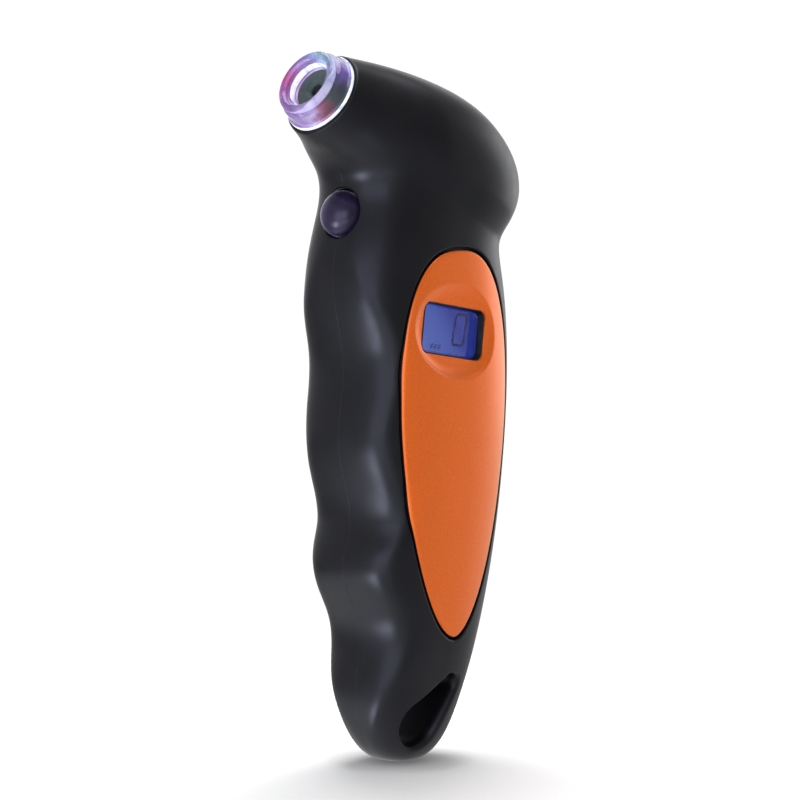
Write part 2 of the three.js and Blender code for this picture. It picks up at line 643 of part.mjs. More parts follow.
function buildNozzle() {
  piece(nozzle, "nozzle_tip", nozzleTip(), MATERIALS.clear);
  const gasket = turnedRing([[6.5, 0.1], [8.8, 0.1], [8.8, 0.4], [6.5, 0.4]], 28);
  piece(nozzle, "nozzle_gasket", gasket, MATERIALS.rubber);
  piece(nozzle, "valve_seal", valveSeal(), MATERIALS.rubber);
  piece(nozzle, "nozzle_core", nozzleCore(), MATERIALS.brass);
  const pin = turned([[0, -5], [0.55, -5], [0.55, 1.6], [0.3, 1.9], [0, 1.9]], 12);
  piece(nozzle, "depressor_pin", pin, MATERIALS.steel);
  const lampBoard = turnedRing([[3.2, -10.3], [6.3, -10.3], [6.3, -9.3], [3.2, -9.3]], 20);
  piece(nozzle, "lamp_board", lampBoard, MATERIALS.board);
  ["lamp_front", "lamp_left", "lamp_right"].forEach((name, i) => {
    const lamp = turned([[0, -9.2], [1.2, -9.2], [1.2, -8.7], [0.8, -8.4], [0, -8.3]], 10);
    const place = new THREE.Matrix4().makeRotationY((2 * Math.PI * i) / 3);
    piece(nozzle, name, moved(moved(lamp, at(4.8, 0)), place), MATERIALS.plastic);
  });
}

// ---------------------------------------------------------------------------
// Air hose and its clamps
// ---------------------------------------------------------------------------

function buildHose() {
  const { x, y } = SENSOR;
  const route = [
    onNozzle(-11), onNozzle(-14.7), onNozzle(-18.5), [-4.6, -0.6, 124.6], [0.4, -2, 118.4],
    [x, y + 0.2, 112.6], [x, y, 107.8], [x, y, 102],
  ];
  piece(gauge, "air_hose", tube(route, HOSE.outer, HOSE.bore, 18, 5), MATERIALS.hose);
  const clamp = () => turnedRing([[2.95, -1], [3.5, -1], [3.5, 1], [2.95, 1]], 14);
  const nozzleEnd = moved(moved(clamp(), at(0, 0).setPosition(0, -13.5, 0)), nozzle.matrix);
  piece(gauge, "hose_clamp_nozzle", nozzleEnd, MATERIALS.steel);
  const upright = new THREE.Matrix4().makeRotationX(Math.PI / 2).setPosition(x, y, 104.6);
  piece(gauge, "hose_clamp_sensor", moved(clamp(), upright), MATERIALS.steel);
}

// ---------------------------------------------------------------------------
// Button, its switch and their wiring
// ---------------------------------------------------------------------------

function buttonCap() {
  const { radius, dome } = BUTTON;
  const cap = Array.from({ length: 5 }, (_, i) => {
    const angle = (Math.PI / 2) * (i / 4);
    return [radius * Math.cos(angle), 0.3 + (dome - 0.3) * Math.sin(angle)];
  });
  cap[cap.length - 1][0] = 0;
  return turned([[0, -5], [1.6, -5], [1.6, -4.3], [5.8, -4.3], [5.8, -3.4], [radius, -3.4], ...cap], 22);
}

function buildButton() {
  piece(button, "button_cap", buttonCap(), MATERIALS.button);
  piece(button, "switch_plunger", rod(1.7, -8.2, -5.1, 14), MATERIALS.black);
  const bore = rod(1.95, -9.4, -6, 14);
  piece(button, "tact_switch", box([-3, -10.6, -3], [3, -7, 3]).subtract(bore), MATERIALS.plastic);
  piece(button, "switch_board", box([-6, -11.9, -6], [6, -10.7, 6]), MATERIALS.board);
}

function buildWiring() {
  const { left, right } = RIBBON;
  const run = RIBBON.run.map(([y, z]) => new THREE.Vector2(-y, z));
  const under = run.map((p) => new THREE.Vector2(p.x + RIBBON.thick, p.y)).reverse();
  const options = { depth: right - left, bevelEnabled: false };
  const ribbon = new THREE.ExtrudeGeometry(new THREE.Shape([...run, ...under]), options)
    .rotateX(Math.PI / 2).rotateZ(-Math.PI / 2).translate(right, 0, 0);
  piece(gauge, "ribbon_cable", solid(ribbon), MATERIALS.plastic);
  const lampLead = [onNozzle(-10.7, 5), onNozzle(-13, 5.4), [-13.4, 5.6, 127.6], [-10.8, 5, 122.6]];
  piece(gauge, "lamp_lead", tube(lampLead, 0.6, 0, 10, 3), MATERIALS.redWire);
}

// ---------------------------------------------------------------------------
// Battery, its contacts and leads, and the door
// ---------------------------------------------------------------------------

function batteryDoor() {
  const { face, ledgeTop, lugLow } = BAY_Y;
  const low = ledgeTop + 0.2;
  const disc = turned([
    [0, low + 0.1], [10.4, low + 0.1], [10.4, lugLow + 0.3], [11.5, lugLow + 0.3], [11.5, low],
    [11.8, low], [11.8, low + 0.9], [12.6, low + 0.9], [12.6, low], [DOOR_RADIUS, low],
    [DOOR_RADIUS, face - 0.3], [DOOR_RADIUS - 0.3, face], [0, face],
  ], 24);
  const lug = (side) =>
    box([side * 12 - 0.8, lugLow + 0.3, -2.2], [side * 12 + 0.8, lugLow + 1, 2.2]);
  const coinSlot = box([-6.5, face - 0.9, -0.9], [6.5, face + 1, 0.9]);
  return disc.add(lug(1)).add(lug(-1)).subtract(coinSlot);
}

function buildBattery() {
  const bay = new THREE.Group();
  bay.position.set(BAY.x, 0, BAY.z);
  gauge.add(bay);
  piece(bay, "battery_door", batteryDoor(), MATERIALS.grip);
  const sealPath = Array.from({ length: 7 }, (_, i) => {
    const angle = (2 * Math.PI * i) / 6;
    return [12.2 + 0.25 * Math.cos(angle), BAY_Y.ledgeTop + 0.62 + 0.25 * Math.sin(angle)];
  });
  piece(bay, "door_seal", turned(sealPath, 24), MATERIALS.rubber);
  const cellLow = BAY_Y.floor + 0.45;
  const cellHigh = cellLow + CELL.thick - 0.1;
  const cell = turned([[0, cellLow], [8.6, cellLow], [8.8, cellLow + 0.6], [CELL.radius - 0.3, cellLow + 0.7],
    [CELL.radius, cellLow + 1], [CELL.radius, cellHigh - 0.3], [CELL.radius - 0.3, cellHigh], [0, cellHigh]], 24);
  piece(bay, "battery_cell", cell, MATERIALS.steel);
  const negative = turned([[0, 6.4], [0.6, 6.4], [0.6, 8.7], [3.5, 8.7], [3.5, 8.95], [0, 8.95]], 16);
  piece(bay, "battery_contact_negative", negative, MATERIALS.brass);
  const strip = turnedRing([[10.15, 8.75], [10.45, 8.75], [10.45, 10.3], [10.15, 10.3]], 30)
    .intersect(box([-BIG, -BIG, -4], [0, BIG, 4]));
  const tab = box([-10.4, 8.75, -0.5], [-9.1, 8.95, 0.5]).add(box([-10, 6.4, -0.4], [-9.2, 8.95, 0.4]));
  piece(bay, "battery_contact_positive", strip.add(tab), MATERIALS.brass);
  const black = [[0, 6.1, 0], [0.4, 3.6, -1.4], [1.6, 0.4, -4.6], [2, -3, -6], [2, -5.5, -6.2]];
  piece(bay, "battery_lead_negative", tube(black, 0.6, 0, 12, 3), MATERIALS.black);
  const red = [[-9.6, 6.1, 0], [-9, 3.6, -1.2], [-6.6, 0.4, -3.4], [-5.2, -3, -4.6], [-5, -5.5, -4.8]];
  piece(bay, "battery_lead_positive", tube(red, 0.6, 0, 12, 3), MATERIALS.redWire);
}

// ---------------------------------------------------------------------------
// Housing screws
// ---------------------------------------------------------------------------

function housingScrew({ x, z, seat, tip }) {
  const { head, headThick, shank } = SCREW;
  const low = seat + FIT;
  const made = turned([[0, tip], [shank * 0.6, tip + 0.4], [shank, tip + 2], [shank, low], [head, low],
    [head, low + 0.9], [head * 0.8, low + headThick - 0.2], [head * 0.4, low + headThick],
    [0, low + headThick]], 12);
  const arm = 1.5;
  const [floor, top] = [low + 0.7, low + headThick + 1];
  const cross = box([-arm, floor, -0.35], [arm, top, 0.35]).add(box([-0.35, floor, -arm], [0.35, top, arm]));
  return moved(made.subtract(cross), at(x, z));
}

buildHousing();
buildDisplay();
buildBoard();
buildNozzle();
buildHose();
buildButton();
buildWiring();
buildBattery();
for (const s of HOUSING_SCREWS) piece(gauge, s.name, housingScrew(s), MATERIALS.steel);

export default gauge;
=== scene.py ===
"""The visual model of a digital tire pressure gauge with a pistol grip.

Sizes are in millimetres, turned into metres where a mesh is made. +Z is up the grip, -X is the
finger side, where the nozzle points, and the display is on the -Y side.
"""

import json
import math

import bmesh
import bpy
import numpy as np
from mathutils import Matrix, Vector
from mathutils.bvhtree import BVHTree
from mathutils.kdtree import KDTree

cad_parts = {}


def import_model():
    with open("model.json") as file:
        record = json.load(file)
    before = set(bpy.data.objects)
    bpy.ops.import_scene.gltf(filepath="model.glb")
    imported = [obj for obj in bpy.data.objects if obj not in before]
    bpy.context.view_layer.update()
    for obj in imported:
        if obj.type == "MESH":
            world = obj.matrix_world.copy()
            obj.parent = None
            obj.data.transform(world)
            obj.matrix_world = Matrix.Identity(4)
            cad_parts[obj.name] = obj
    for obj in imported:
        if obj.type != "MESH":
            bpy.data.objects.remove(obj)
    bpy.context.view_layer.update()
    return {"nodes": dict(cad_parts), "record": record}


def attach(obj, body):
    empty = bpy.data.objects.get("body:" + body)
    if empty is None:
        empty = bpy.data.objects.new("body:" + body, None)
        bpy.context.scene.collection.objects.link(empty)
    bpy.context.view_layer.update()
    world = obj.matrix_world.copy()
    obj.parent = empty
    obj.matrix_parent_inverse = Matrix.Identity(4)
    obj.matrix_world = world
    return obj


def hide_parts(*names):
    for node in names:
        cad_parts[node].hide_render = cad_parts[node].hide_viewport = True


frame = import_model()

# ---------------------------------------------------------------------------
# Sizes, as in the CAD model
# ---------------------------------------------------------------------------

GRIP_AXIS_X = 3.86

# front x, z, back x, z, half thickness, squareness at the front and back
STATIONS = np.array([
    (-4.0, 0.0, -4.0, 0.0, 0.0, 2.2, 2.1),
    (-9.8, 0.2, 2.0, 0.3, 5.4, 2.2, 2.1),
    (-14.4, 4.0, 7.2, 5.0, 8.2, 2.4, 2.1),
    (-17.8, 11.0, 10.6, 12.0, 10.2, 2.6, 2.1),
    (-19.6, 20.0, 13.8, 21.0, 12.0, 2.8, 2.2),
    (-21.2, 30.5, 16.9, 31.0, 13.2, 2.9, 2.2),
    (-23.2, 42.0, 19.7, 42.0, 14.2, 3.0, 2.2),
    (-23.6, 54.0, 21.8, 54.0, 14.9, 3.0, 2.2),
    (-24.2, 68.0, 23.4, 67.0, 15.4, 3.0, 2.2),
    (-24.6, 82.0, 24.3, 80.0, 15.6, 3.0, 2.2),
    (-25.0, 95.0, 24.1, 92.0, 15.6, 3.0, 2.2),
    (-24.1, 105.5, 22.8, 102.0, 15.3, 3.0, 2.2),
    (-22.2, 113.0, 20.6, 109.5, 14.8, 2.9, 2.2),
    (-20.9, 118.0, 24.0, 113.4, 14.8, 2.8, 2.2),
    (-20.6, 121.3, 27.8, 118.6, 15.4, 2.7, 2.2),
    (-21.2, 123.8, 26.9, 126.2, 15.8, 2.6, 2.2),
    (-22.5, 125.6, 21.0, 133.6, 16.0, 2.5, 2.2),
    (-24.1, 127.0, 12.2, 139.9, 15.5, 2.4, 2.2),
    (-26.0, 128.4, 1.6, 143.9, 14.1, 2.2, 2.1),
    (-27.8, 129.4, -8.0, 146.1, 12.2, 2.0, 2.0),
    (-29.5, 130.5, -15.4, 147.2, 10.5, 2.0, 2.0),
    (-31.0, 131.6, -22.5, 147.9, 9.2, 2.0, 2.0),
])
STATIONS[:, [0, 2]] += GRIP_AXIS_X
LAST = len(STATIONS) - 1
# height, depth, and how far the groove fades above and below
GROOVES = [(85.0, 3.8, 12.2, 14.0), (52.7, 4.6, 12.5, 8.3), (29.1, 4.6, 10.6, 11.9)]
GROOVE_CROWN = 0.4
GROOVE_BLEND = 1.5
# how far in from the surface and out from the middle plane each line of the parting groove lies
SEAM = [(0.10, 0.012), (0.015, 0.012), (0.003, 0.03), (0.0, 0.09)]
# the step in the surface under the head, which fades out towards the nozzle
DOME = {"z": 119.7, "slope": -0.415, "lift": 1.3, "blend": 3.5, "fade": (-20, -6)}

LEAF = {"x": GRIP_AXIS_X, "z": 76, "half": 17.2, "up": 32.2, "down": 49.1}
# squareness of each quarter, by which way it lies in Z and X
LEAF_SQUARE = {(1, -1): 2.7, (1, 1): 2.25, (-1, -1): 1.78, (-1, 1): 1.65}
PANEL_THICK = 1.3
PANEL_GAP = 0.62
# faces within this of the panel's outline take black plastic: painted shade for the shadow in the gap round the
# panel
PAINTED_SHADE_EDGE = 0.12
WINDOW = {"x": GRIP_AXIS_X - 2.1, "z": 91.3, "w": 19, "h": 10.6, "r": 1.9, "tilt": 7.7}
DISH = {"half_w": 14.0, "half_h": 10.0, "y": 13.8, "rise": 3.4}
# how much of the dish's depth is left at each share of its half size
DISH_SHARE = [0, 0.70, 0.76, 0.82, 0.88, 0.94, 1.0, 1.08, 1.3]
DISH_LEVEL = [1, 1, 0.975, 0.91, 0.81, 0.67, 0.46, 0.14, -1.1]
BUTTON_STATION = 12.56
SLOT = {"top": (0.2 + GRIP_AXIS_X, 16.8), "r_top": 2.4, "low": (-7.2 + GRIP_AXIS_X, 9.3), "r_low": 4.9}
BAY = (GRIP_AXIS_X, 62)
# x from the grip's axis, z, the seat's height and the tip's height
SCREWS = {
    "housing_screw_head": (6, 130, 11.5, -9),
    "housing_screw_neck": (11, 112, 8.6, -7),
    "housing_screw_front": (-12.5, 36, 7.6, -7),
    "housing_screw_back": (9, 36, 7.6, -7),
}
# the housing's wall, the wall round the lanyard slot, and what is solid round the screws and the battery
WALL = 2.4
TUNNEL_WALL = 1.8
BOSS_RADIUS = 3.4
BAY_RADIUS = 14.8
# how far under the surface the panel's seat lies, and how far from the middle plane two faces lie
SEAT_DEPTH = 1.65
DISPLAY_FRONT = 11.41
DOOR_TOP = 14.1
# past the body's surface on any side
FAR = 30.0
# the angle in degrees over which an edge is a crease
CREASE = 32
MM = 0.001

# ---------------------------------------------------------------------------
# Meshes
# ---------------------------------------------------------------------------


def new_object(name, data):
    ob = bpy.data.objects.new(name, data)
    bpy.context.scene.collection.objects.link(ob)
    return ob


def new_mesh(name, verts, faces):
    """A mesh from points in millimetres."""
    mesh = bpy.data.meshes.new(name)
    mesh.from_pydata((np.asarray(verts, float) * MM).tolist(), [], faces)
    return mesh


def mesh_object(name, verts, faces, angle=CREASE):
    """A smooth-shaded mesh object from points in millimetres, with creases over an angle."""
    mesh = new_mesh(name, verts, faces)
    bm = bmesh.new()
    bm.from_mesh(mesh)
    bmesh.ops.recalc_face_normals(bm, faces=bm.faces)
    bm.to_mesh(mesh)
    bm.free()
    ob = new_object(name, mesh)
    shade(ob, angle)
    return ob


def shade(ob, angle):
    """Smooth shading, with creases where two faces meet at more than an angle."""
    for p in ob.data.polygons:
        p.use_smooth = True
    ob.data.set_sharp_from_angle(angle=math.radians(angle))


def grid_faces(rows, cols, wrap=False):
    """Quads between the rows of a grid of points, closed round each row if wrap is set."""
    faces = []
    for i in range(rows - 1):
        for j in range(cols if wrap else cols - 1):
            k = (j + 1) % cols
            faces.append((i * cols + j, i * cols + k, (i + 1) * cols + k, (i + 1) * cols + j))
    return faces


def rings_object(name, rings, angle=CREASE, loop=False):
    """A closed solid from rings of points: its ends are filled, or joined to each other if loop is set."""
    rings = np.asarray(rings, float)
    rows, cols = rings.shape[:2]
    faces = grid_faces(rows, cols, wrap=True)
    if loop:
        last = (rows - 1) * cols
        faces += [(last + j, last + (j + 1) % cols, (j + 1) % cols, j) for j in range(cols)]
    else:
        faces += [tuple(range(cols)), tuple(range((rows - 1) * cols, rows * cols))]
    return mesh_object(name, rings.reshape(-1, 3), faces, angle)


def xz_ring(points, y):
    """A ring of XZ points at one Y, or at one Y for each point."""
    return np.column_stack((points[:, 0], np.broadcast_to(y, len(points)), points[:, 1]))


def circle(sides):
    """Points round a circle of radius 1."""
    turn = 2 * math.pi * np.arange(sides) / sides
    return np.column_stack((np.cos(turn), np.sin(turn)))


def lathe(name, profile, sides=96, loop=False, angle=CREASE):
    """A solid turned about Y from (radius, height) pairs."""
    return rings_object(name, [xz_ring(circle(sides) * max(r, 1e-3), h) for r, h in profile], angle, loop)


def rounded(points, radius, steps=5, closed=False):
    """A profile with each corner rounded by an arc of about that radius, or of its own if given third."""
    pts = [np.array(p[:2], float) for p in points]
    radii = [p[2] if len(p) > 2 else radius for p in points]
    out = []
    count = len(pts)
    for i, p in enumerate(pts):
        if not closed and i in (0, count - 1):
            out.append(tuple(p))
            continue
        a, b = pts[i - 1] - p, pts[(i + 1) % count] - p
        la, lb = np.linalg.norm(a), np.linalg.norm(b)
        cut = min(radii[i], 0.45 * la, 0.45 * lb)
        if cut < 1e-4:
            out.append(tuple(p))
            continue
        start, end = p + a / la * cut, p + b / lb * cut
        for k in range(steps + 1):
            t = k / steps
            out.append(tuple((1 - t) ** 2 * start + 2 * t * (1 - t) * p + t**2 * end))
    return out


def rounded_rect(w, h, r, steps=10):
    """The outline of a rounded rectangle, anticlockwise."""
    pts = []
    for cx, cy, start in ((1, 1, 0), (-1, 1, 90), (-1, -1, 180), (1, -1, 270)):
        for k in range(steps + 1):
            a = math.radians(start + 90 * k / steps)
            pts.append((cx * (w / 2 - r) + r * math.cos(a), cy * (h / 2 - r) + r * math.sin(a)))
    return np.array(pts)


def at(x, z):
    """A placement in the middle plane, in millimetres."""
    return Matrix.Translation((x, 0, z))


def place(ob, matrix):
    """Moves a mesh's points by a matrix in millimetres."""
    m = matrix.copy()
    m.translation = m.translation * MM
    ob.data.transform(m)
    ob.data.update()
    return ob


def combine(ob, other, operation="DIFFERENCE"):
    """Cuts or joins a mesh with another, which is then deleted."""
    mod = ob.modifiers.new("cut", "BOOLEAN")
    mod.operation, mod.solver, mod.object = operation, "MANIFOLD", other
    made = bpy.data.meshes.new_from_object(ob.evaluated_get(bpy.context.evaluated_depsgraph_get()))
    ob.modifiers.clear()
    if not made.polygons:
        raise ValueError(f"{operation} of {ob.name} with {other.name} left nothing")
    ob.data = made
    bpy.data.objects.remove(other)
    shade(ob, CREASE)
    return ob


# ---------------------------------------------------------------------------
# Body surface
# ---------------------------------------------------------------------------


def stations_at(t):
    """The station values at t by a uniform cubic B-spline that meets both end stations."""
    rows = np.vstack((2 * STATIONS[0] - STATIONS[1], STATIONS, 2 * STATIONS[-1] - STATIONS[-2]))
    i = min(int(t), LAST - 1)
    f = t - i
    w = np.array([(1 - f) ** 3, 3 * f**3 - 6 * f**2 + 4, -3 * f**3 + 3 * f**2 + 3 * f + 1, f**3]) / 6
    return w @ rows[i:i + 4]


def smoothstep(v):
    v = np.clip(v, 0, 1)
    return v * v * (3 - 2 * v)


def half_section(t, steps):
    """Half a section at t, as points with y >= 0 from the front middle line to the back one."""
    fx, fz, bx, bz, half, front, back = stations_at(t)
    middle = np.array([(fx + bx) / 2, (fz + bz) / 2])
    length = math.hypot(bx - fx, bz - fz)
    along = np.array([bx - fx, bz - fz]) / length
    angle = np.linspace(0, math.pi, 401)
    power = np.where(angle < math.pi / 2, 2 / front, 2 / back)
    c, s = np.cos(angle), np.abs(np.sin(angle))
    s[-1] = 0
    u = -np.sign(c) * length / 2 * np.abs(c) ** power
    v = half * s**power
    groove = sum(depth * math.exp(-((fz - z) / (above if fz > z else below)) ** 2)
                 for z, depth, above, below in GROOVES) + 1e-6
    cut = -length / 2 + groove * (1 + GROOVE_CROWN * (v / max(half, 1e-6)) ** 2)
    blend = GROOVE_BLEND * groove
    u = np.maximum(u, cut) + np.maximum(blend - np.abs(u - cut), 0) ** 2 / (4 * blend)
    run = np.concatenate(([0], np.cumsum(np.hypot(np.diff(u), np.diff(v)))))
    want = np.linspace(0, run[-1], steps + 1)
    u, v = np.interp(want, run, u), np.interp(want, run, v)
    v[0] = v[-1] = 0
    x, z = middle[0] + u * along[0], middle[1] + u * along[1]
    above = (z - DOME["z"] - DOME["slope"] * (x - GRIP_AXIS_X)) / math.hypot(1, DOME["slope"])
    low, high = DOME["fade"]
    fade = smoothstep((x - GRIP_AXIS_X - low) / (high - low))
    edge = np.clip(v / max(half, 1e-6), 0, 1) ** 1.5
    v = v + DOME["lift"] * fade * smoothstep(above / (2 * DOME["blend"]) + 0.5) * edge
    return np.column_stack((x, v, z))


def half_grid(ts, steps):
    return np.array([half_section(t, steps) for t in ts])


def grid_normals(grid):
    """Outward normals of a half grid."""
    up = np.gradient(grid, axis=0)
    full = np.concatenate((grid[:, 1:2] * [1, -1, 1], grid, grid[:, -2:-1] * [1, -1, 1]), axis=1)
    n = np.cross(up, full[:, 2:] - full[:, :-2])
    return n / np.maximum(np.linalg.norm(n, axis=2, keepdims=True), 1e-9)


def facing(x, z, run_x, run_z):
    """Millimetre placement in the middle plane whose +Y points square to a run, to the run's left."""
    out = Vector((-run_z, 0, run_x)).normalized()
    return at(x, z) @ Vector((0, 1, 0)).rotation_difference(out).to_matrix().to_4x4()


def nozzle_matrix():
    """Millimetre placement whose +Y runs out along the nozzle from the housing's end."""
    fx, fz, bx, bz = STATIONS[-1][:4]
    return facing((fx + bx) / 2, (fz + bz) / 2, bx - fx, bz - fz)


def button_matrix():
    """Millimetre placement whose +Y runs out of the button's place on the front middle line."""
    x, z = stations_at(BUTTON_STATION)[:2]
    low, high = stations_at(BUTTON_STATION - 0.05)[:2], stations_at(BUTTON_STATION + 0.05)[:2]
    return facing(x, z, *(high - low))


NOZZLE = nozzle_matrix()
BUTTON = button_matrix()
DISPLAY = at(WINDOW["x"], WINDOW["z"]) @ Matrix.Rotation(math.radians(WINDOW["tilt"]), 4, "Y")

ring_ts = np.concatenate((np.linspace(0.06, 1.5, 26), np.linspace(1.55, LAST, 300)))
outer_grid = half_grid(ring_ts, 92)
outer_normals = grid_normals(outer_grid)


TREE = BVHTree.FromPolygons([Vector(p) for p in outer_grid.reshape(-1, 3)], grid_faces(*outer_grid.shape[:2]))


def depth_at(x, z):
    """Half the body's thickness at a point of the XZ plane."""
    hit = TREE.ray_cast(Vector((x, 2 * FAR, z)), Vector((0, -1, 0)))[0]
    return hit.y if hit else 0.0


def depths(points):
    return np.array([depth_at(x, z) for x, z in points])


def solid_half(side):
    """One half of the body as a solid, with a narrow rounded groove where the halves meet."""

    def seam_columns(edge, lines):
        return np.stack([(outer_grid[:, edge] - outer_normals[:, edge] * inset) * [1, 0, 1] + [0, y, 0]
                         for inset, y in lines], 1)

    grid = np.concatenate((seam_columns(0, SEAM), outer_grid[:, 1:-1], seam_columns(-1, SEAM[::-1])), axis=1)
    # The nozzle's end is rounded over by three more rings.
    fx, fz, bx, bz = STATIONS[-1][:4]
    middle = np.array([(fx + bx) / 2, 0, (fz + bz) / 2])
    out = np.array(NOZZLE.to_3x3() @ Vector((0, 1, 0)))
    ends = [middle + (grid[-1] - middle) * k + out * h
            for k, h in ((0.992, 0.10), (0.975, 0.17), (0.95, 0.2))]
    grid = np.concatenate((grid, np.array(ends)), axis=0)
    grid[:, :, 1] = np.maximum(grid[:, :, 1], 0.01) * side
    rows, cols = grid.shape[:2]
    faces = grid_faces(rows, cols)
    faces += [(i * cols, (i + 1) * cols, (i + 2) * cols - 1, (i + 1) * cols - 1) for i in range(rows - 1)]
    faces += [tuple(range(cols)), tuple(range((rows - 1) * cols, rows * cols))]
    return mesh_object("body", grid.reshape(-1, 3), faces)


def whole_inset(inset, ts, steps):
    """The whole body, shrunk all over, as a solid."""
    grid = half_grid(ts, steps)
    grid = grid - grid_normals(grid) * inset
    far = grid[:, -2:0:-1] * [1, -1, 1]
    return rings_object("inset", np.concatenate((grid, far), axis=1))


def y_rod(radius, x, z, low=-40, high=40, sides=48):
    return place(lathe("rod", [(radius, low), (radius, high)], sides), at(x, z))


# ---------------------------------------------------------------------------
# Outlines on the body
# ---------------------------------------------------------------------------


def outline_normals(outline):
    """Outward normals of a closed anticlockwise outline."""
    step = np.roll(outline, -1, axis=0) - np.roll(outline, 1, axis=0)
    return np.column_stack((step[:, 1], -step[:, 0])) / np.linalg.norm(step, axis=1, keepdims=True)


def offset(outline, grow):
    """A closed outline moved outwards along its own normals; grow may vary round it."""
    return outline + outline_normals(outline) * np.reshape(grow, (-1, 1))


def even(outline, count):
    """A closed outline with its points spaced evenly."""
    loop = np.vstack((outline, outline[:1]))
    run = np.concatenate(([0], np.cumsum(np.linalg.norm(np.diff(loop, axis=0), axis=1))))
    want = np.linspace(0, run[-1], count, endpoint=False)
    return np.column_stack((np.interp(want, run, loop[:, 0]), np.interp(want, run, loop[:, 1])))


def leaf_outline(count):
    angle = np.linspace(0, 2 * math.pi, 4000, endpoint=False)
    c, s = np.cos(angle), np.sin(angle)
    power = np.zeros_like(angle)
    for (sz, sx), square in LEAF_SQUARE.items():
        power[((s >= 0) == (sz > 0)) & ((c >= 0) == (sx > 0))] = 2 / square
    tall = np.where(s >= 0, LEAF["up"], LEAF["down"])
    x = LEAF["x"] + np.sign(c) * LEAF["half"] * np.abs(c) ** power
    z = LEAF["z"] + np.sign(s) * tall * np.abs(s) ** power
    return even(np.column_stack((x, z)), count)


def slot_outline(count):
    """The outline round the slot's two circles."""
    (tx, tz), (lx, lz) = SLOT["top"], SLOT["low"]
    heading = math.atan2(tz - lz, tx - lx)
    opening = math.acos((SLOT["r_low"] - SLOT["r_top"]) / math.hypot(tx - lx, tz - lz))
    a = np.linspace(heading - opening, heading + opening, 200)
    b = np.linspace(heading + opening, heading - opening + 2 * math.pi, 300)
    top = np.column_stack((tx + SLOT["r_top"] * np.cos(a), tz + SLOT["r_top"] * np.sin(a)))
    low = np.column_stack((lx + SLOT["r_low"] * np.cos(b), lz + SLOT["r_low"] * np.sin(b)))
    return even(np.vstack((top, low)), count)


def surface_rings(outline, profile, side):
    """Rings round an outline: each has a growth and a height over the body's surface."""
    return [xz_ring(points, side * (depths(points) + height))
            for points, height in ((offset(outline, grow), height) for grow, height in profile)]


def stacked_rings(outline, profile):
    """Rings round an outline: each has a growth and a Y."""
    return [xz_ring(offset(outline, grow), y) for grow, y in profile]


def shrunk(outline, low, high, count):
    """Copies of an outline shrunk towards the middle of the leaf by evenly spaced shares."""
    centre = np.array([LEAF["x"], LEAF["z"]])
    return [centre + (outline - centre) * k for k in np.linspace(low, high, count)]


# ---------------------------------------------------------------------------
# Housing
# ---------------------------------------------------------------------------


def cavity(side):
    """The hollow inside the housing."""
    hollow = whole_inset(WALL, np.linspace(1.0, LAST - 0.35, 90), 26)
    end = place(lathe("end", [(FAR, -WALL), (FAR, FAR)], 24), NOZZLE)
    hollow = combine(hollow, end)
    tunnel = stacked_rings(slot_outline(120), [(TUNNEL_WALL, -FAR), (TUNNEL_WALL, FAR)])
    hollow = combine(hollow, rings_object("tunnel", tunnel))
    for x, z, *_ in SCREWS.values():
        hollow = combine(hollow, y_rod(BOSS_RADIUS, x + GRIP_AXIS_X, z))
    if side > 0:
        hollow = combine(hollow, y_rod(BAY_RADIUS, *BAY, low=7.2, sides=96))
    return hollow


def slot_cutter():
    """The lanyard slot: crisp at its upper front edge, scooped out at its lower back one."""
    outline = slot_outline(160)
    scoop = smoothstep((outline_normals(outline) @ np.array([0.76, -0.65]) + 0.25) / 1.1)
    flare = 0.5 + 1.4 * scoop
    deep = 0.6 + 3.1 * scoop
    # A quarter of an ellipse from the tunnel's wall out to the surface, and then clear of it.
    profile = [(flare * (1 - math.cos(a)), 0.02 - deep * (1 - math.sin(a)))
               for a in np.linspace(0, 1, 9) * math.pi / 2]
    profile.append((flare + 0.12, 3))
    return rings_object("slot", surface_rings(outline, profile[::-1], -1) + surface_rings(outline, profile, 1))


def housing_half(side):
    half = combine(solid_half(side), cavity(side))
    half = combine(half, slot_cutter())
    bore = place(lathe("bore", [(6.4, -3.4), (6.4, 3)], 96), NOZZLE)
    half = combine(half, bore)
    hole = [(5.1, -9), (5.1, -0.45), (5.16, -0.22), (5.3, -0.06), (5.55, 0.05), (5.8, 3)]
    half = combine(half, place(lathe("hole", hole, 96), BUTTON))
    if side < 0:
        return panel_seat(half)
    return battery_bay(half)


def panel_seat(half):
    """The recess that the face panel sits in, with a soft lip, and the display's opening."""
    lip = [(PANEL_GAP, -SEAT_DEPTH), (PANEL_GAP, -0.42), (PANEL_GAP + 0.06, -0.2), (PANEL_GAP + 0.2, -0.06),
           (PANEL_GAP + 0.45, 0.02), (PANEL_GAP + 0.6, 2.5)]
    outline = leaf_outline(320)
    rings = surface_rings(outline, lip, -1)
    rings.append(xz_ring(rings[-1][:, [0, 2]], -FAR))
    wall = offset(outline, PANEL_GAP)
    inner = [xz_ring(points, -(depths(points) - SEAT_DEPTH)) for points in shrunk(wall, 0.02, 0.96, 24)]
    half = combine(half, rings_object("seat", inner + rings))
    ellipse = circle(96) * (14.4, 11.0)
    opening = rings_object("opening", [xz_ring(ellipse, y) for y in (-FAR, -6)])
    return combine(half, place(opening, DISPLAY))


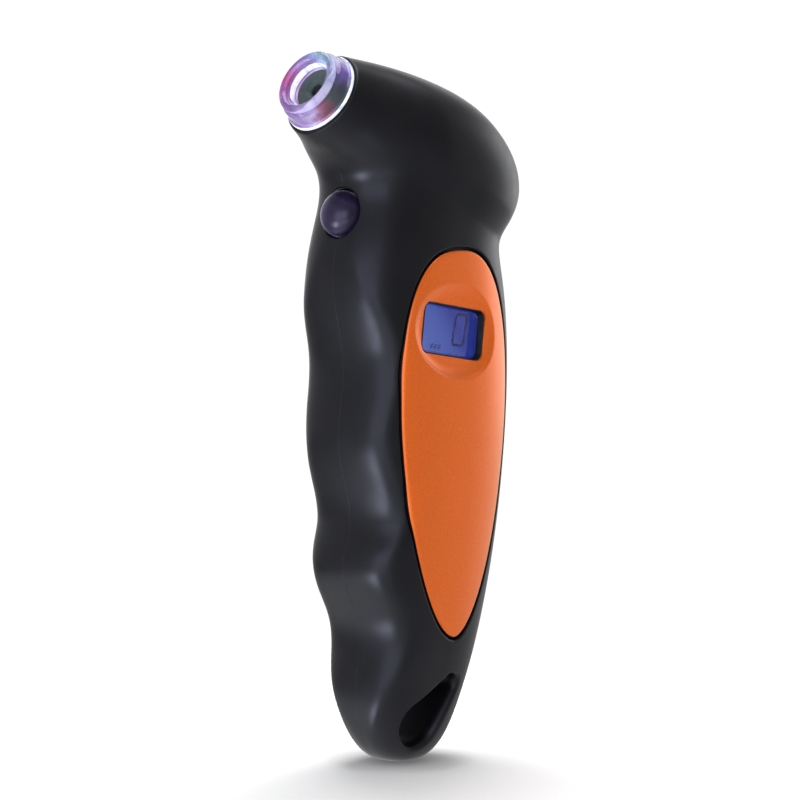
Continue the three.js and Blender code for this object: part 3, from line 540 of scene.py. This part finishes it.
def battery_bay(half):
    """The pocket for the battery door and the wells for the screws."""
    lip = depth_at(*BAY) + 3
    pocket = [(0, 8.6), (10.6, 8.6), (10.6, 10.4), (13.2, 10.4), (13.2, 14.9), (13.35, 15.1), (13.7, 15.3),
              (13.9, lip), (0, lip)]
    half = combine(half, place(lathe("pocket", pocket, 128), at(*BAY)))
    for x, z, seat, _ in SCREWS.values():
        top = depth_at(x + GRIP_AXIS_X, z)
        well = [(1.6, -20), (1.6, seat), (2.9, seat), (2.9, top - 0.5), (3.0, top - 0.15), (3.3, top + 0.1),
                (3.6, top + 6)]
        half = combine(half, place(lathe("well", well, 64), at(x + GRIP_AXIS_X, z)))
    return half


# ---------------------------------------------------------------------------
# Face panel
# ---------------------------------------------------------------------------


def dish_depth(x, z):
    """How far from the middle plane the dish round the window lies."""
    p = DISPLAY.inverted() @ Vector((x, 0, z))
    r = math.hypot(p.x / DISH["half_w"], p.z / DISH["half_h"])
    return DISH["y"] + DISH["rise"] * (1 - np.interp(r, DISH_SHARE, DISH_LEVEL))


def soft_min(a, b, k):
    """The lower of two heights, blended where they lie within about k of each other."""
    h = np.clip(0.5 + 0.5 * (b - a) / k, 0, 1)
    return b + (a - b) * h - k * h * (1 - h)


def skin_and_dish(points):
    """How far from the middle plane the body's skin and the dish lie at each point."""
    return depths(points), np.array([dish_depth(x, z) for x, z in points])


def face_panel():
    """The leaf-shaped panel: its rounded edge, its face with the dish, its underside and its window."""
    outline = leaf_outline(400)
    edge = [(0.0, -PANEL_THICK), (0.0, -0.62), (-0.07, -0.36), (-0.22, -0.15), (-0.44, -0.03), (-0.7, 0.0)]
    side = surface_rings(outline, edge, -1)
    rim = offset(outline, edge[-1][0])
    face = [xz_ring(p, -soft_min(*skin_and_dish(p), 0.22)) for p in shrunk(rim, 0.99, 0.015, 150)]
    under = [xz_ring(p, -(np.minimum(*skin_and_dish(p)) - PANEL_THICK)) for p in shrunk(outline, 0.015, 0.98, 50)]
    panel = rings_object("face_panel_skin", under + side + face)
    lip = [(0, -1.6), (0, -0.14), (0.03, -0.06), (0.09, -0.01), (0.16, 0.03), (0.3, 4)]
    window = stacked_rings(rounded_rect(WINDOW["w"], WINDOW["h"], WINDOW["r"]),
                           [(grow, -(DISH["y"] + height)) for grow, height in lip])
    return combine(panel, place(rings_object("window_cut", window), DISPLAY))


# ---------------------------------------------------------------------------
# Materials
# ---------------------------------------------------------------------------

# the range that most of a noise texture's values lie in
NOISE_LOW, NOISE_HIGH = 0.3, 0.7
DISPLAY_GLOW = 0.62
# the sockets that a colour Mix node uses
MIX_SHARE, MIX_A, MIX_B, MIX_RESULT = 0, 6, 7, 2


class Nodes:
    """A small helper for building a material's node tree."""

    def __init__(self, name):
        self.material = bpy.data.materials.new(name)
        self.material.use_nodes = True
        self.tree = self.material.node_tree
        self.tree.nodes.clear()
        self.output = self.add("ShaderNodeOutputMaterial")
        self.shader = self.add("ShaderNodeBsdfPrincipled")
        self.link(self.shader.outputs[0], self.output.inputs[0])
        self.coords = self.add("ShaderNodeTexCoord").outputs["Object"]

    def add(self, kind, **settings):
        node = self.tree.nodes.new(kind)
        for key, value in settings.items():
            setattr(node, key, value)
        return node

    def link(self, source, target):
        self.tree.links.new(source, target)

    def set(self, **values):
        for key, value in values.items():
            self.shader.inputs[key.replace("_", " ")].default_value = value
        return self

    def drive(self, socket, value):
        """Links a value to one of the shader's sockets."""
        self.link(value, self.shader.inputs[socket])
        return self

    def moved(self, x, y, z):
        """The object coordinates, moved by metres."""
        mapping = self.add("ShaderNodeMapping")
        mapping.inputs["Location"].default_value = (x, y, z)
        self.link(self.coords, mapping.inputs[0])
        return mapping.outputs[0]

    def distance(self):
        """The distance from the origin in metres."""
        node = self.add("ShaderNodeVectorMath", operation="LENGTH")
        self.link(self.coords, node.inputs[0])
        return node.outputs["Value"]

    def noise(self, scale, detail=3, roughness=0.5):
        """A noise value whose scale is in waves per metre."""
        node = self.add("ShaderNodeTexNoise")
        for key, value in (("Scale", scale), ("Detail", detail), ("Roughness", roughness)):
            node.inputs[key].default_value = value
        self.link(self.coords, node.inputs["Vector"])
        return node.outputs["Fac"]

    def tone(self, dark, light, scale, detail=3):
        """Lets the base colour wander between two colours."""
        stops = [(NOISE_LOW, dark), (NOISE_HIGH, light)]
        return self.drive("Base Color", self.ramp(self.noise(scale, detail), stops))

    def gloss(self, low, high, scale, detail=3):
        """Lets the roughness wander between two values."""
        return self.drive("Roughness", self.spread(self.noise(scale, detail), NOISE_LOW, NOISE_HIGH, low, high))

    def ramp(self, value, stops):
        """A colour that goes through stops, each a position and its colour."""
        node = self.add("ShaderNodeValToRGB")
        ramp = node.color_ramp
        while len(ramp.elements) > 1:
            ramp.elements.remove(ramp.elements[-1])
        for k, (position, color) in enumerate(stops):
            element = ramp.elements[0] if k == 0 else ramp.elements.new(position)
            element.position = position
            element.color = (*color, 1)
        self.link(value, node.inputs[0])
        return node.outputs[0]

    def spread(self, value, low, high, to_low=0.0, to_high=1.0):
        """A value's range stretched to another range, and clamped to it."""
        node = self.add("ShaderNodeMapRange")
        for key, number in zip(("From Min", "From Max", "To Min", "To Max"), (low, high, to_low, to_high)):
            node.inputs[key].default_value = number
        self.link(value, node.inputs["Value"])
        return node.outputs[0]

    def bump(self, height, strength, distance):
        node = self.add("ShaderNodeBump")
        node.inputs["Strength"].default_value = strength
        node.inputs["Distance"].default_value = distance
        self.link(height, node.inputs["Height"])
        return self.drive("Normal", node.outputs[0])


def soft_touch():
    n = Nodes("soft_touch_black")
    n.set(Specular_IOR_Level=0.5, Specular_Tint=(0.84, 0.86, 1.0, 1), Sheen_Weight=0.03, Sheen_Roughness=0.3,
          Sheen_Tint=(0.72, 0.74, 1.0, 1))
    n.tone((0.0028, 0.0028, 0.0034), (0.0048, 0.0047, 0.0056), 90, 4)
    n.gloss(0.31, 0.37, 260, 4)
    return n.bump(n.noise(4200, 2, 0.6), 0.10, 0.00005).material


def orange_paint():
    n = Nodes("orange_paint")
    n.set(Specular_IOR_Level=0.1, Coat_Weight=0.7, Coat_Roughness=0.3, Metallic=0.55, Sheen_Weight=0.6,
          Sheen_Roughness=0.35, Sheen_Tint=(1.0, 0.70, 0.32, 1))
    n.drive("Base Color", n.ramp(n.noise(3800, 2, 0.7), [
        (0.30, (0.91, 0.140, 0.006)), (0.52, (0.98, 0.165, 0.010)), (0.74, (1.0, 0.23, 0.028))]))
    n.gloss(0.36, 0.42, 150)
    return n.bump(n.noise(3200, 3, 0.6), 0.16, 0.00006).material


def clear_violet_painted_light(name, stops):
    """Clear plastic whose tint changes round the nozzle: painted reflections and coloured lamp light, with a
    faint painted glow in the same colours.
    """
    n = Nodes(name)
    n.set(Roughness=0.04, IOR=1.49, Transmission_Weight=0.75, Coat_Weight=0.6, Coat_Roughness=0.03,
          Emission_Strength=0.10)
    from_nozzle = n.moved(*(-NOZZLE.translation * MM))
    out = NOZZLE.to_3x3() @ Vector((0, 1, 0))
    across = n.add("ShaderNodeCombineXYZ")
    for socket, direction in (("X", Vector((0, 1, 0))), ("Y", Vector((out.z, 0, -out.x)))):
        dot = n.add("ShaderNodeVectorMath", operation="DOT_PRODUCT")
        dot.inputs[1].default_value = direction
        n.link(from_nozzle, dot.inputs[0])
        n.link(dot.outputs["Value"], across.inputs[socket])
    turn = n.add("ShaderNodeTexGradient", gradient_type="RADIAL")
    n.link(across.outputs[0], turn.inputs[0])
    wander = n.add("ShaderNodeMath", operation="ADD")
    n.link(turn.outputs["Fac"], wander.inputs[0])
    n.link(n.spread(n.noise(330, 2), NOISE_LOW, NOISE_HIGH, -0.035, 0.035), wander.inputs[1])
    # painted light: the tint by angle round the nozzle is both the base colour and the glow
    tint = n.ramp(wander.outputs[0], stops)
    return n.drive("Base Color", tint).drive("Emission Color", tint).material


def painted_glow_edge():
    """Clear plastic with a painted glow: white emission stands in for the highlight on the nozzle's flange rim
    and the light in its mouth.
    """
    n = Nodes("painted_glow_edge")
    n.set(Roughness=0.2, IOR=1.49, Transmission_Weight=0.3, Emission_Strength=0.55)
    glow = n.ramp(n.noise(420, 3, 0.6), [
        (0.34, (0.34, 0.36, 0.60)), (0.48, (0.72, 0.78, 0.95)), (0.62, (1.0, 1.0, 1.0))])
    return n.drive("Base Color", glow).drive("Emission Color", glow).material


def violet_button():
    n = Nodes("violet_button")
    n.set(Specular_IOR_Level=0.5, Specular_Tint=(0.80, 0.74, 1.0, 1), Coat_Weight=0.5, Coat_Roughness=0.3,
          Coat_Tint=(0.80, 0.72, 1.0, 1), Sheen_Weight=0.7, Sheen_Roughness=0.25, Sheen_Tint=(0.72, 0.62, 1.0, 1))
    n.tone((0.006, 0.004, 0.016), (0.018, 0.012, 0.038), 300, 2)
    return n.gloss(0.24, 0.30, 500).material


def black_rubber():
    n = Nodes("black_rubber")
    n.set(Specular_IOR_Level=0.35)
    n.tone((0.006, 0.006, 0.007), (0.012, 0.012, 0.013), 400)
    n.gloss(0.5, 0.65, 900)
    return n.bump(n.noise(6000, 2), 0.15, 0.00004).material


def seal_rubber():
    n = Nodes("seal_rubber")
    n.set(Specular_IOR_Level=0.4)
    n.tone((0.040, 0.062, 0.062), (0.060, 0.085, 0.084), 700)
    n.gloss(0.4, 0.55, 900)
    return n.bump(n.noise(5000, 2), 0.2, 0.00005).material


def window_plastic():
    n = Nodes("window_plastic")
    n.set(Roughness=0.02, IOR=1.22, Transmission_Weight=1.0)
    return n.tone((0.96, 0.97, 1.0), (1.0, 1.0, 1.0), 120, 2).material


def blue_display():
    """Backlit glass, lightest at its lower finger side."""
    n = Nodes("blue_display")
    n.set(Specular_IOR_Level=0.2, Emission_Strength=DISPLAY_GLOW)
    split = n.add("ShaderNodeSeparateXYZ")
    n.link(n.moved(-WINDOW["x"] * MM, 0, -WINDOW["z"] * MM), split.inputs[0])
    lean = n.add("ShaderNodeMath", operation="MULTIPLY_ADD")
    lean.inputs[1].default_value = 0.55
    n.link(split.outputs["Z"], lean.inputs[0])
    n.link(split.outputs["X"], lean.inputs[2])
    glow = n.ramp(n.spread(lean.outputs[0], -0.0125, 0.0110),
                  [(0.0, (0.16, 0.18, 0.64)), (0.28, (0.08, 0.135, 0.56)), (0.48, (0.055, 0.105, 0.50)),
                   (0.68, (0.012, 0.030, 0.33)), (1.0, (0.010, 0.024, 0.25))])
    n.drive("Emission Color", glow)
    n.tone((0.010, 0.014, 0.06), (0.016, 0.020, 0.08), 2000, 2)
    return n.gloss(0.08, 0.14, 600, 2).material


def display_segment():
    n = Nodes("display_segment")
    n.set(Specular_IOR_Level=0.2, Emission_Strength=DISPLAY_GLOW)
    glow = n.ramp(n.noise(900, 2), [(NOISE_LOW, (0.004, 0.006, 0.060)), (NOISE_HIGH, (0.007, 0.010, 0.085))])
    return n.drive("Emission Color", glow).drive("Base Color", glow).material


def plain(name, dark, light, rough, metallic=0.0, scale=500):
    """A material whose colour and roughness wander a little, with a fine bump."""
    n = Nodes(name)
    n.set(Metallic=metallic)
    n.tone(dark, light, scale)
    n.gloss(*rough, scale * 2)
    return n.bump(n.noise(scale * 8, 2), 0.1, 0.00004).material


def give(ob, *materials):
    """Replaces a piece's materials."""
    ob.data.materials.clear()
    for material in materials:
        ob.data.materials.append(material)


M = {
    "grip": soft_touch(),
    "panel": orange_paint(),
    # painted reflections and coloured light: the tints go round the nozzle, lighter, darker and of other hues by
    # angle
    "nozzle": clear_violet_painted_light("clear_violet_painted_light", [
        (0.02, (0.10, 0.12, 0.15)), (0.08, (0.12, 0.14, 0.17)), (0.13, (0.42, 0.12, 0.22)),
        (0.19, (0.70, 0.62, 0.92)), (0.30, (0.46, 0.34, 0.74)), (0.42, (0.66, 0.33, 0.68)),
        (0.62, (0.42, 0.22, 0.55)), (0.78, (0.62, 0.62, 0.95)), (0.87, (0.66, 0.66, 0.98)),
        (0.93, (0.16, 0.06, 0.46)), (0.98, (0.12, 0.12, 0.18))]),
    "lip": clear_violet_painted_light("clear_violet_lip", [
        (0.02, (0.42, 0.42, 0.62)), (0.12, (0.60, 0.52, 0.80)), (0.20, (0.56, 0.48, 0.84)),
        (0.30, (0.36, 0.22, 0.62)), (0.42, (0.50, 0.20, 0.56)), (0.52, (0.58, 0.14, 0.36)),
        (0.62, (0.40, 0.20, 0.52)), (0.72, (0.40, 0.44, 0.80)), (0.80, (0.50, 0.86, 0.95)),
        (0.87, (0.30, 0.46, 0.80)), (0.94, (0.50, 0.48, 0.78)), (0.98, (0.42, 0.42, 0.62))]),
    "edge": painted_glow_edge(),
    "button": violet_button(),
    "rubber": black_rubber(),
    "seal": seal_rubber(),
    "window": window_plastic(),
    "display": blue_display(),
    "white": plain("white_plastic", (0.62, 0.62, 0.58), (0.76, 0.76, 0.72), (0.4, 0.5)),
    "black": plain("black_plastic", (0.004, 0.004, 0.005), (0.009, 0.009, 0.010), (0.35, 0.45)),
    "board": plain("solder_mask", (0.01, 0.09, 0.03), (0.02, 0.16, 0.06), (0.3, 0.42), 0, 300),
    "steel": plain("zinc_steel", (0.42, 0.43, 0.45), (0.62, 0.63, 0.65), (0.25, 0.38), 1.0, 800),
    "dark_steel": plain("blackened_steel", (0.03, 0.035, 0.036), (0.06, 0.065, 0.066), (0.3, 0.42), 1.0, 800),
    "brass": plain("turned_brass", (0.55, 0.36, 0.12), (0.75, 0.54, 0.22), (0.22, 0.34), 1.0, 800),
    "hose": plain("silicone", (0.55, 0.52, 0.45), (0.68, 0.65, 0.58), (0.4, 0.55)),
    "red": plain("red_insulation", (0.25, 0.008, 0.008), (0.38, 0.015, 0.012), (0.35, 0.5)),
    "segment": display_segment(),
}
BY_SLOT = {
    "grip": "grip", "panel": "panel", "nozzle_clear": "nozzle", "button_dark": "button", "rubber": "rubber",
    "window": "window", "display": "display", "white_plastic": "white", "black_plastic": "black",
    "board": "board", "steel": "steel", "brass": "brass", "hose": "hose", "red_wire": "red",
}
for part in frame["record"]["subparts"]:
    give(frame["nodes"][part["node"]], M[BY_SLOT[part["material_slot"]]])
give(frame["nodes"]["valve_seal"], M["seal"])
give(frame["nodes"]["depressor_pin"], M["dark_steel"])


def finish_piece(ob, name, body, slot, materials, *nodes):
    """Names a piece, gives it its body and its materials, and hides the nodes it stands for; slot is not used."""
    ob.name = name
    give(ob, *materials)
    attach(ob, body)
    if nodes:
        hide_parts(*nodes)
    return ob


# ---------------------------------------------------------------------------
# Pieces
# ---------------------------------------------------------------------------


def panel_piece():
    """The face panel, orange on its face; its side walls take black plastic, as painted shade for the shadow in
    the gap round it.
    """
    ob = finish_piece(face_panel(), "panel_leaf", "housing", "panel", [M["panel"], M["black"]], "face_panel")
    outline = leaf_outline(6000)
    near = KDTree(len(outline))
    for i, (x, z) in enumerate(outline):
        near.insert((x, 0, z), i)
    near.balance()
    for p in ob.data.polygons:
        c = p.center / MM
        # painted shade: faces by the outline are black, for the shadow in the gap round the panel
        if near.find((c.x, 0, c.z))[2] < PAINTED_SHADE_EDGE:
            p.material_index = 1


def nozzle_piece():
    """The clear nozzle, with a painted white glow at its flange's rim and in its mouth, and a lip of other
    painted tints.
    """
    outline = [(6.2, -8.2, 0.1), (6.2, -4.2, 0.1), (7.0, -4.1, 0.1), (7.0, -2.8, 0.1), (6.2, -2.7, 0.1),
               (6.2, 0.5, 0.1), (8.6, 0.5, 0.08), (8.6, 1.05, 0.2), (7.95, 1.4, 0.3), (7.7, 3.75, 0.3),
               (6.6, 4.2, 0.4), (7.1, 4.6, 0.3), (7.1, 5.5, 0.8), (6.4, 5.9, 0.6), (5.6, 5.7, 0.6),
               (5.05, 4.7, 0.5), (4.75, 3.5, 0.4), (4.75, -3.4, 0.1), (3.3, -3.4, 0.1), (3.3, -8.2, 0.1)]
    ob = place(lathe("nozzle", rounded(outline, 0.2, closed=True), 128, loop=True, angle=50), NOZZLE)
    finish_piece(ob, "nozzle_moulding", "housing", "nozzle_clear", [M["nozzle"], M["edge"], M["lip"]],
                 "nozzle_tip")
    back = NOZZLE.inverted()
    for p in ob.data.polygons:
        c = back @ (p.center / MM)
        r = math.hypot(c.x, c.z)
        # painted highlight: the flange's rim and the mouth take the glowing material, the lip its own painted
        # tints
        if r > 8.35 or (r < 5.0 and c.y > 2.6):
            p.material_index = 1
        elif c.y > 4.15:
            p.material_index = 2


def seal_pieces():
    """The seal at the bottom of the nozzle's mouth, and the gasket under its flange."""
    outline = [(1.3, -1.0, 0.1), (4.5, -1.0, 0.1), (4.5, 2.8, 0.5), (2.3, 2.8, 0.3), (1.75, 2.3, 0.3),
               (1.3, 2.0, 0.3)]
    ob = place(lathe("seal", rounded(outline, 0.2, closed=True), 96, loop=True, angle=50), NOZZLE)
    finish_piece(ob, "seal_moulding", "housing", "rubber", [M["seal"]], "valve_seal")
    ring = [(6.5, 0.1, 0.05), (8.75, 0.1, 0.08), (8.75, 0.42, 0.1), (6.5, 0.42, 0.05)]
    ob = place(lathe("gasket", rounded(ring, 0.1, closed=True), 128, loop=True), NOZZLE)
    finish_piece(ob, "gasket_ring", "housing", "rubber", [M["rubber"]], "nozzle_gasket")


def button_piece():
    cap = [(0, -5), (1.6, -5), (1.6, -4.3), (5.8, -4.3), (5.8, -3.4), (4.8, -3.4), (4.8, 0.0)]
    for k in range(1, 19):
        a = math.pi / 2 * k / 18
        cap.append((4.8 * math.cos(a) ** 0.92, 3.3 * math.sin(a)))
    ob = place(lathe("button", cap, 96), BUTTON)
    finish_piece(ob, "button_dome", "button", "button_dark", [M["button"]], "button_cap")


def bezel_piece():
    """The black frame in the window's opening, with a flange behind the panel."""
    opening = rounded_rect(WINDOW["w"] - 0.2, WINDOW["h"] - 0.2, WINDOW["r"] - 0.1)
    rings = stacked_rings(opening, [
        (-0.1, -11.5), (-0.1, -13.86), (-0.07, -13.92), (-0.03, -13.92), (0, -13.86), (0, -12.4), (1.6, -12.4),
        (1.6, -11.5)])
    ob = place(rings_object("bezel", rings, loop=True), DISPLAY)
    finish_piece(ob, "window_frame", "housing", "black_plastic", [M["black"]], "lcd_bezel")


def bar(x0, z0, x1, z1, wide):
    """A display segment's outline: a bar with pointed ends."""
    a, b = np.array([x0, z0]), np.array([x1, z1])
    along = (b - a) / np.linalg.norm(b - a)
    side = np.array([-along[1], along[0]]) * wide / 2
    tip = along * wide / 2
    return np.array([a, a + tip - side, b - tip - side, b, b - tip + side, a + tip + side])


def digit_segments():
    """A nought and two small unit marks on the display, as thin raised shapes."""
    x0, x1, z0, z1, zm = 2.5, 5.9, -2.5, 4.0, 0.75
    gap, wide, thin, slant = 0.12, 0.62, 0.24, 0.12
    shapes = [bar(x0 + gap, z1, x1 - gap, z1, wide), bar(x0 + gap, z0, x1 - gap, z0, wide)]
    for x in (x0, x1):
        shapes += [bar(x, zm + gap, x, z1 - gap, wide), bar(x, z0 + gap, x, zm - gap, wide)]
    for k in range(3):
        x = -3.7 + 1.15 * k
        shapes += [bar(x, -4.2, x, -3.1, thin)]
        shapes += [bar(x + 0.1, z, x + 0.7, z, thin) for z in (-3.1, -3.65)]
    verts, faces = [], []
    for shape in shapes:
        n, start = len(shape), len(verts)
        for y in (-DISPLAY_FRONT, -DISPLAY_FRONT - 0.03):
            verts += [(x + slant * z, y, z) for x, z in shape]
        faces += [tuple(range(start, start + n)), tuple(range(start + n, start + 2 * n))]
        faces += [(start + k, start + (k + 1) % n, start + n + (k + 1) % n, start + n + k) for k in range(n)]
    ob = place(mesh_object("digits", verts, faces), DISPLAY)
    finish_piece(ob, "display_segments", "housing", "display", [M["segment"]])


def door_piece():
    """The battery door: a disc with a coin slot, dots that mark its turn, and two lugs."""
    outline = [(0, 12.2), (10.4, 12.2), (10.4, 10.7), (11.5, 10.7), (11.5, 12.3), (12.9, 12.3), (12.9, 13.75),
               (12.8, 13.98), (12.5, DOOR_TOP), (11.6, DOOR_TOP), (11.45, 13.95), (11.15, 13.95),
               (11.0, DOOR_TOP), (0, DOOR_TOP)]
    ob = lathe("door", outline, 128)
    for side in (-1, 1):
        lug = rounded_rect(1.6, 4.4, 0.2, 3) + (side * 12, 0)
        ob = combine(ob, rings_object("lug", [xz_ring(lug, y) for y in (10.7, 11.4)]), "UNION")
    coin = stacked_rings(rounded_rect(13, 1.8, 0.89, 12),
                         [(0, 13.2), (0, 13.95), (0.05, 14.04), (0.18, 14.11), (0.3, 15)])
    ob = combine(ob, rings_object("coin", coin))
    for k in range(3):
        a = math.radians(60 + 30 * k)
        dot = lathe("dot", [(0.35, 13.85), (0.45, 14.05), (0.6, 14.3)], 24)
        ob = combine(ob, place(dot, at(8.8 * math.cos(a), 8.8 * math.sin(a))))
    place(ob, at(*BAY))
    finish_piece(ob, "door_disc", "door", "grip", [M["grip"]], "battery_door")


def screw_piece(name, x, z, seat, tip):
    """A screw with a domed head and a cross, on its seat in the well."""
    low = seat + 0.1
    profile = [(0, tip), (0.8, tip + 0.4), (1.35, tip + 2), (1.35, low), (2.6, low), (2.6, low + 0.8),
               (2.45, low + 1.15), (2.0, low + 1.5), (1.3, low + 1.72), (0, low + 1.8)]
    ob = lathe("screw", profile, 64)
    for turn in (20, 110):
        arm = rounded_rect(3.0, 0.7, 0.1, 2)
        rings = [xz_ring(arm * (k, 1), y) for y, k in ((low + 0.7, 0.6), (low + 3, 1.0))]
        ob = combine(ob, place(rings_object("cross", rings), Matrix.Rotation(math.radians(turn), 4, "Y")))
    place(ob, at(x + GRIP_AXIS_X, z))
    finish_piece(ob, name + "_body", "housing", "steel", [M["steel"]], name)


finish_piece(housing_half(-1), "grip_left", "housing", "grip", [M["grip"]], "housing_left")
finish_piece(housing_half(1), "grip_right", "housing", "grip", [M["grip"]], "housing_right")
panel_piece()
nozzle_piece()
seal_pieces()
button_piece()
bezel_piece()
digit_segments()
door_piece()
for screw, numbers in SCREWS.items():
    screw_piece(screw, *numbers)

# ---------------------------------------------------------------------------
# Stage, lights and camera
# ---------------------------------------------------------------------------

WORLD = 0.25
# how brightly the floor glows near the object and further out, and between which distances it changes
FLOOR_NEAR = 0.13
FLOOR_FAR = 1.04
FLOOR_FADE = (0.12, 0.21)
# share of half a metre, and how pale the floor's paint is there; the dark first stops are a painted contact
# shadow under the grip's foot
FLOOR_PAINT_AND_SHADOW = [(0.008, 0.18), (0.018, 0.58), (0.034, 0.92), (0.24, 0.92), (0.42, 0.01)]
# azimuth in degrees and brightness of what the gloss mirrors: the table close by, the table further out,
# and the wall
NEAR_ROUND = [(-90, 0.8), (-45, 0.6), (-15, 0.45), (45, 0.45), (99, 0.35), (140, 0.4), (190, 0.4), (208, 0.8),
              (225, 0.9), (250, 0.8)]
TABLE_ROUND = [(-90, 0.5), (-45, 0.5), (-15, 0.3), (45, 0.3), (60, 0.5), (105, 0.55), (133, 0.8), (165, 0.5),
               (190, 0.25), (205, 0.2), (225, 0.3), (240, 0.5), (255, 0.5)]
WALL_ROUND = [(-90, 0.35), (-45, 0.45), (-30, 0.35), (-15, 0.2), (45, 0.2), (60, 0.5), (100, 0.5), (112, 0.7),
              (120, 1.15), (150, 1.15), (165, 0.7), (225, 0.3), (240, 0.45), (255, 0.35)]
ROUND_PEAK = 1.25
TABLE_FADE = (0.08, 0.15)
WALL_FADE = (0.5, 1.4)
LENS = 120
TARGET = Vector((-3.6 + GRIP_AXIS_X, 0, 76.58)) * MM
CAMERA_AZIMUTH, CAMERA_ELEVATION, CAMERA_DISTANCE = -47, 3, 0.564


def towards(azimuth, elevation):
    """The direction to a bearing and height in degrees."""
    a, e = math.radians(azimuth), math.radians(elevation)
    return Vector((math.sin(a) * math.cos(e), -math.cos(a) * math.cos(e), math.sin(e)))


def sweep(name, material, drop):
    """A table that sweeps up into a wall all round."""
    sides = 96
    profile = [(1, 0), (300, 0), (900, 0), (1500, 0), (1800, 40), (2000, 160), (2100, 400), (2120, 1300)]
    rows = [np.column_stack((circle(sides) * r, np.full(sides, z - drop))) for r, z in profile]
    faces = grid_faces(len(rows), sides, wrap=True) + [tuple(range(sides))]
    ob = new_object(name, new_mesh(name, np.concatenate(rows), faces))
    for p in ob.data.polygons:
        p.use_smooth = True
    give(ob, material)
    ob.visible_shadow = False
    return ob


def backdrop():
    """The pale floor: lit close to the object, so that it takes a shadow, with a painted contact shadow under the
    grip's foot, and glowing evenly further out.
    """
    n = Nodes("pale_floor")
    n.set(Specular_IOR_Level=0.0, Roughness=0.9, Emission_Color=(1, 1, 1, 1))
    far = n.distance()
    # painted shadow: the paint darkens towards the middle, under the grip's foot
    stops = [(share, (level,) * 3) for share, level in FLOOR_PAINT_AND_SHADOW]
    n.drive("Base Color", n.ramp(n.spread(far, 0.0, 0.5), stops))
    n.drive("Emission Strength", n.spread(far, *FLOOR_FADE, FLOOR_NEAR, FLOOR_FAR))
    ob = sweep("floor", n.material, 0.05)
    ob.visible_glossy = False
    return ob


def surroundings():
    """What the gloss mirrors instead of the white floor: brighter and darker parts of a studio."""
    n = Nodes("studio_surroundings")
    n.set(Specular_IOR_Level=0.0, Roughness=0.9, Base_Color=(0.01, 0.01, 0.01, 1), Emission_Strength=ROUND_PEAK)
    far = n.distance()
    bearing = n.add("ShaderNodeTexGradient", gradient_type="RADIAL")
    n.link(n.coords, bearing.inputs[0])

    def by_azimuth(levels):
        """A brightness that changes round the object; the gradient starts from azimuth -90."""
        stops = [((azimuth + 90) / 360, (level / ROUND_PEAK,) * 3) for azimuth, level in levels]
        return n.ramp(bearing.outputs["Fac"], stops + [(1.0, stops[0][1])])

    def mixed(share, low, high):
        mix = n.add("ShaderNodeMix", data_type="RGBA")
        for socket, value in ((MIX_SHARE, share), (MIX_A, low), (MIX_B, high)):
            n.link(value, mix.inputs[socket])
        return mix.outputs[MIX_RESULT]

    table = mixed(n.spread(far, *TABLE_FADE), by_azimuth(NEAR_ROUND), by_azimuth(TABLE_ROUND))
    n.drive("Emission Color", mixed(n.spread(far, *WALL_FADE), table, by_azimuth(WALL_ROUND)))
    ob = sweep("surroundings", n.material, 1.0)
    ob.visible_camera = ob.visible_diffuse = ob.visible_transmission = False


def area_light(name, place_mm, aim_mm, width, height, radiance, color=(1, 1, 1)):
    """A soft light of a given brightness, invisible to the camera."""
    data = bpy.data.lights.new(name, "AREA")
    data.shape, data.size, data.size_y = "RECTANGLE", width * MM, height * MM
    data.energy, data.color = radiance * math.pi * width * height * MM**2, color
    ob = new_object(name, data)
    ob.location = Vector(place_mm) * MM
    ob.rotation_euler = (Vector(place_mm) - Vector(aim_mm)).to_track_quat("Z", "Y").to_euler()
    ob.visible_camera = False
    return ob


def light_floor(light, floor, state):
    """Makes a light reach only the floor, or everything but the floor."""
    receivers = bpy.data.collections.new(light.name + "_receivers")
    receivers.objects.link(floor)
    receivers.collection_objects[0].light_linking.link_state = state
    light.light_linking.receiver_collection = receivers


def low_sun(azimuth, elevation, radiance, angle):
    """A small distant lamp below the table's edge, like a lamp mirrored in the table."""
    data = bpy.data.lights.new("low_sun", "SUN")
    data.angle = math.radians(angle)
    data.energy = radiance * 2 * math.pi * (1 - math.cos(data.angle / 2))
    data.color = (0.84, 0.87, 1.0)
    data.cycles.use_multiple_importance_sampling = False
    ob = new_object("low_sun", data)
    ob.rotation_euler = towards(azimuth, elevation).to_track_quat("Z", "Y").to_euler()


def around(azimuth, radius, z):
    """A point at a bearing and radius about the grip's middle, in millimetres."""
    a = math.radians(azimuth)
    return (radius * math.sin(a), -radius * math.cos(a), z)


def world():
    """An even white surrounding light."""
    made = bpy.data.worlds.new("studio")
    made.use_nodes = True
    background = made.node_tree.nodes["Background"]
    background.inputs["Color"].default_value = (1, 1, 1, 1)
    background.inputs["Strength"].default_value = WORLD
    bpy.context.scene.world = made


def camera():
    """The camera, at the photograph's viewing angle."""
    data = bpy.data.cameras.new("camera")
    data.lens, data.sensor_width = LENS, 36
    ob = new_object("camera", data)
    back = towards(CAMERA_AZIMUTH, CAMERA_ELEVATION)
    ob.location = TARGET + back * CAMERA_DISTANCE
    ob.rotation_euler = back.to_track_quat("Z", "Y").to_euler()
    bpy.context.scene.camera = ob


floor = backdrop()
surroundings()
world()
camera()
light_floor(area_light("top", around(133, 120, 900), (0, 0, 0), 760, 760, 2.5), floor, "EXCLUDE")
light_floor(area_light("table_lamp", around(133, 260, 860), (0, 0, 0), 400, 400, 12.0), floor, "INCLUDE")
area_light("window", around(-78, 640, 170), (0, 0, 70), 760, 330, 1.35, (0.80, 0.83, 1.0))
area_light("left_table", around(-74, 280, 3), around(-74, 280, 100), 300, 300, 0.8, (0.82, 0.85, 1.0))
low_sun(-108, -29, 5.8, 22)
area_light("right", around(88, 700, 190), (0, 0, 80), 420, 340, 1.05)
bpy.context.scene.view_settings.view_transform = "Standard"
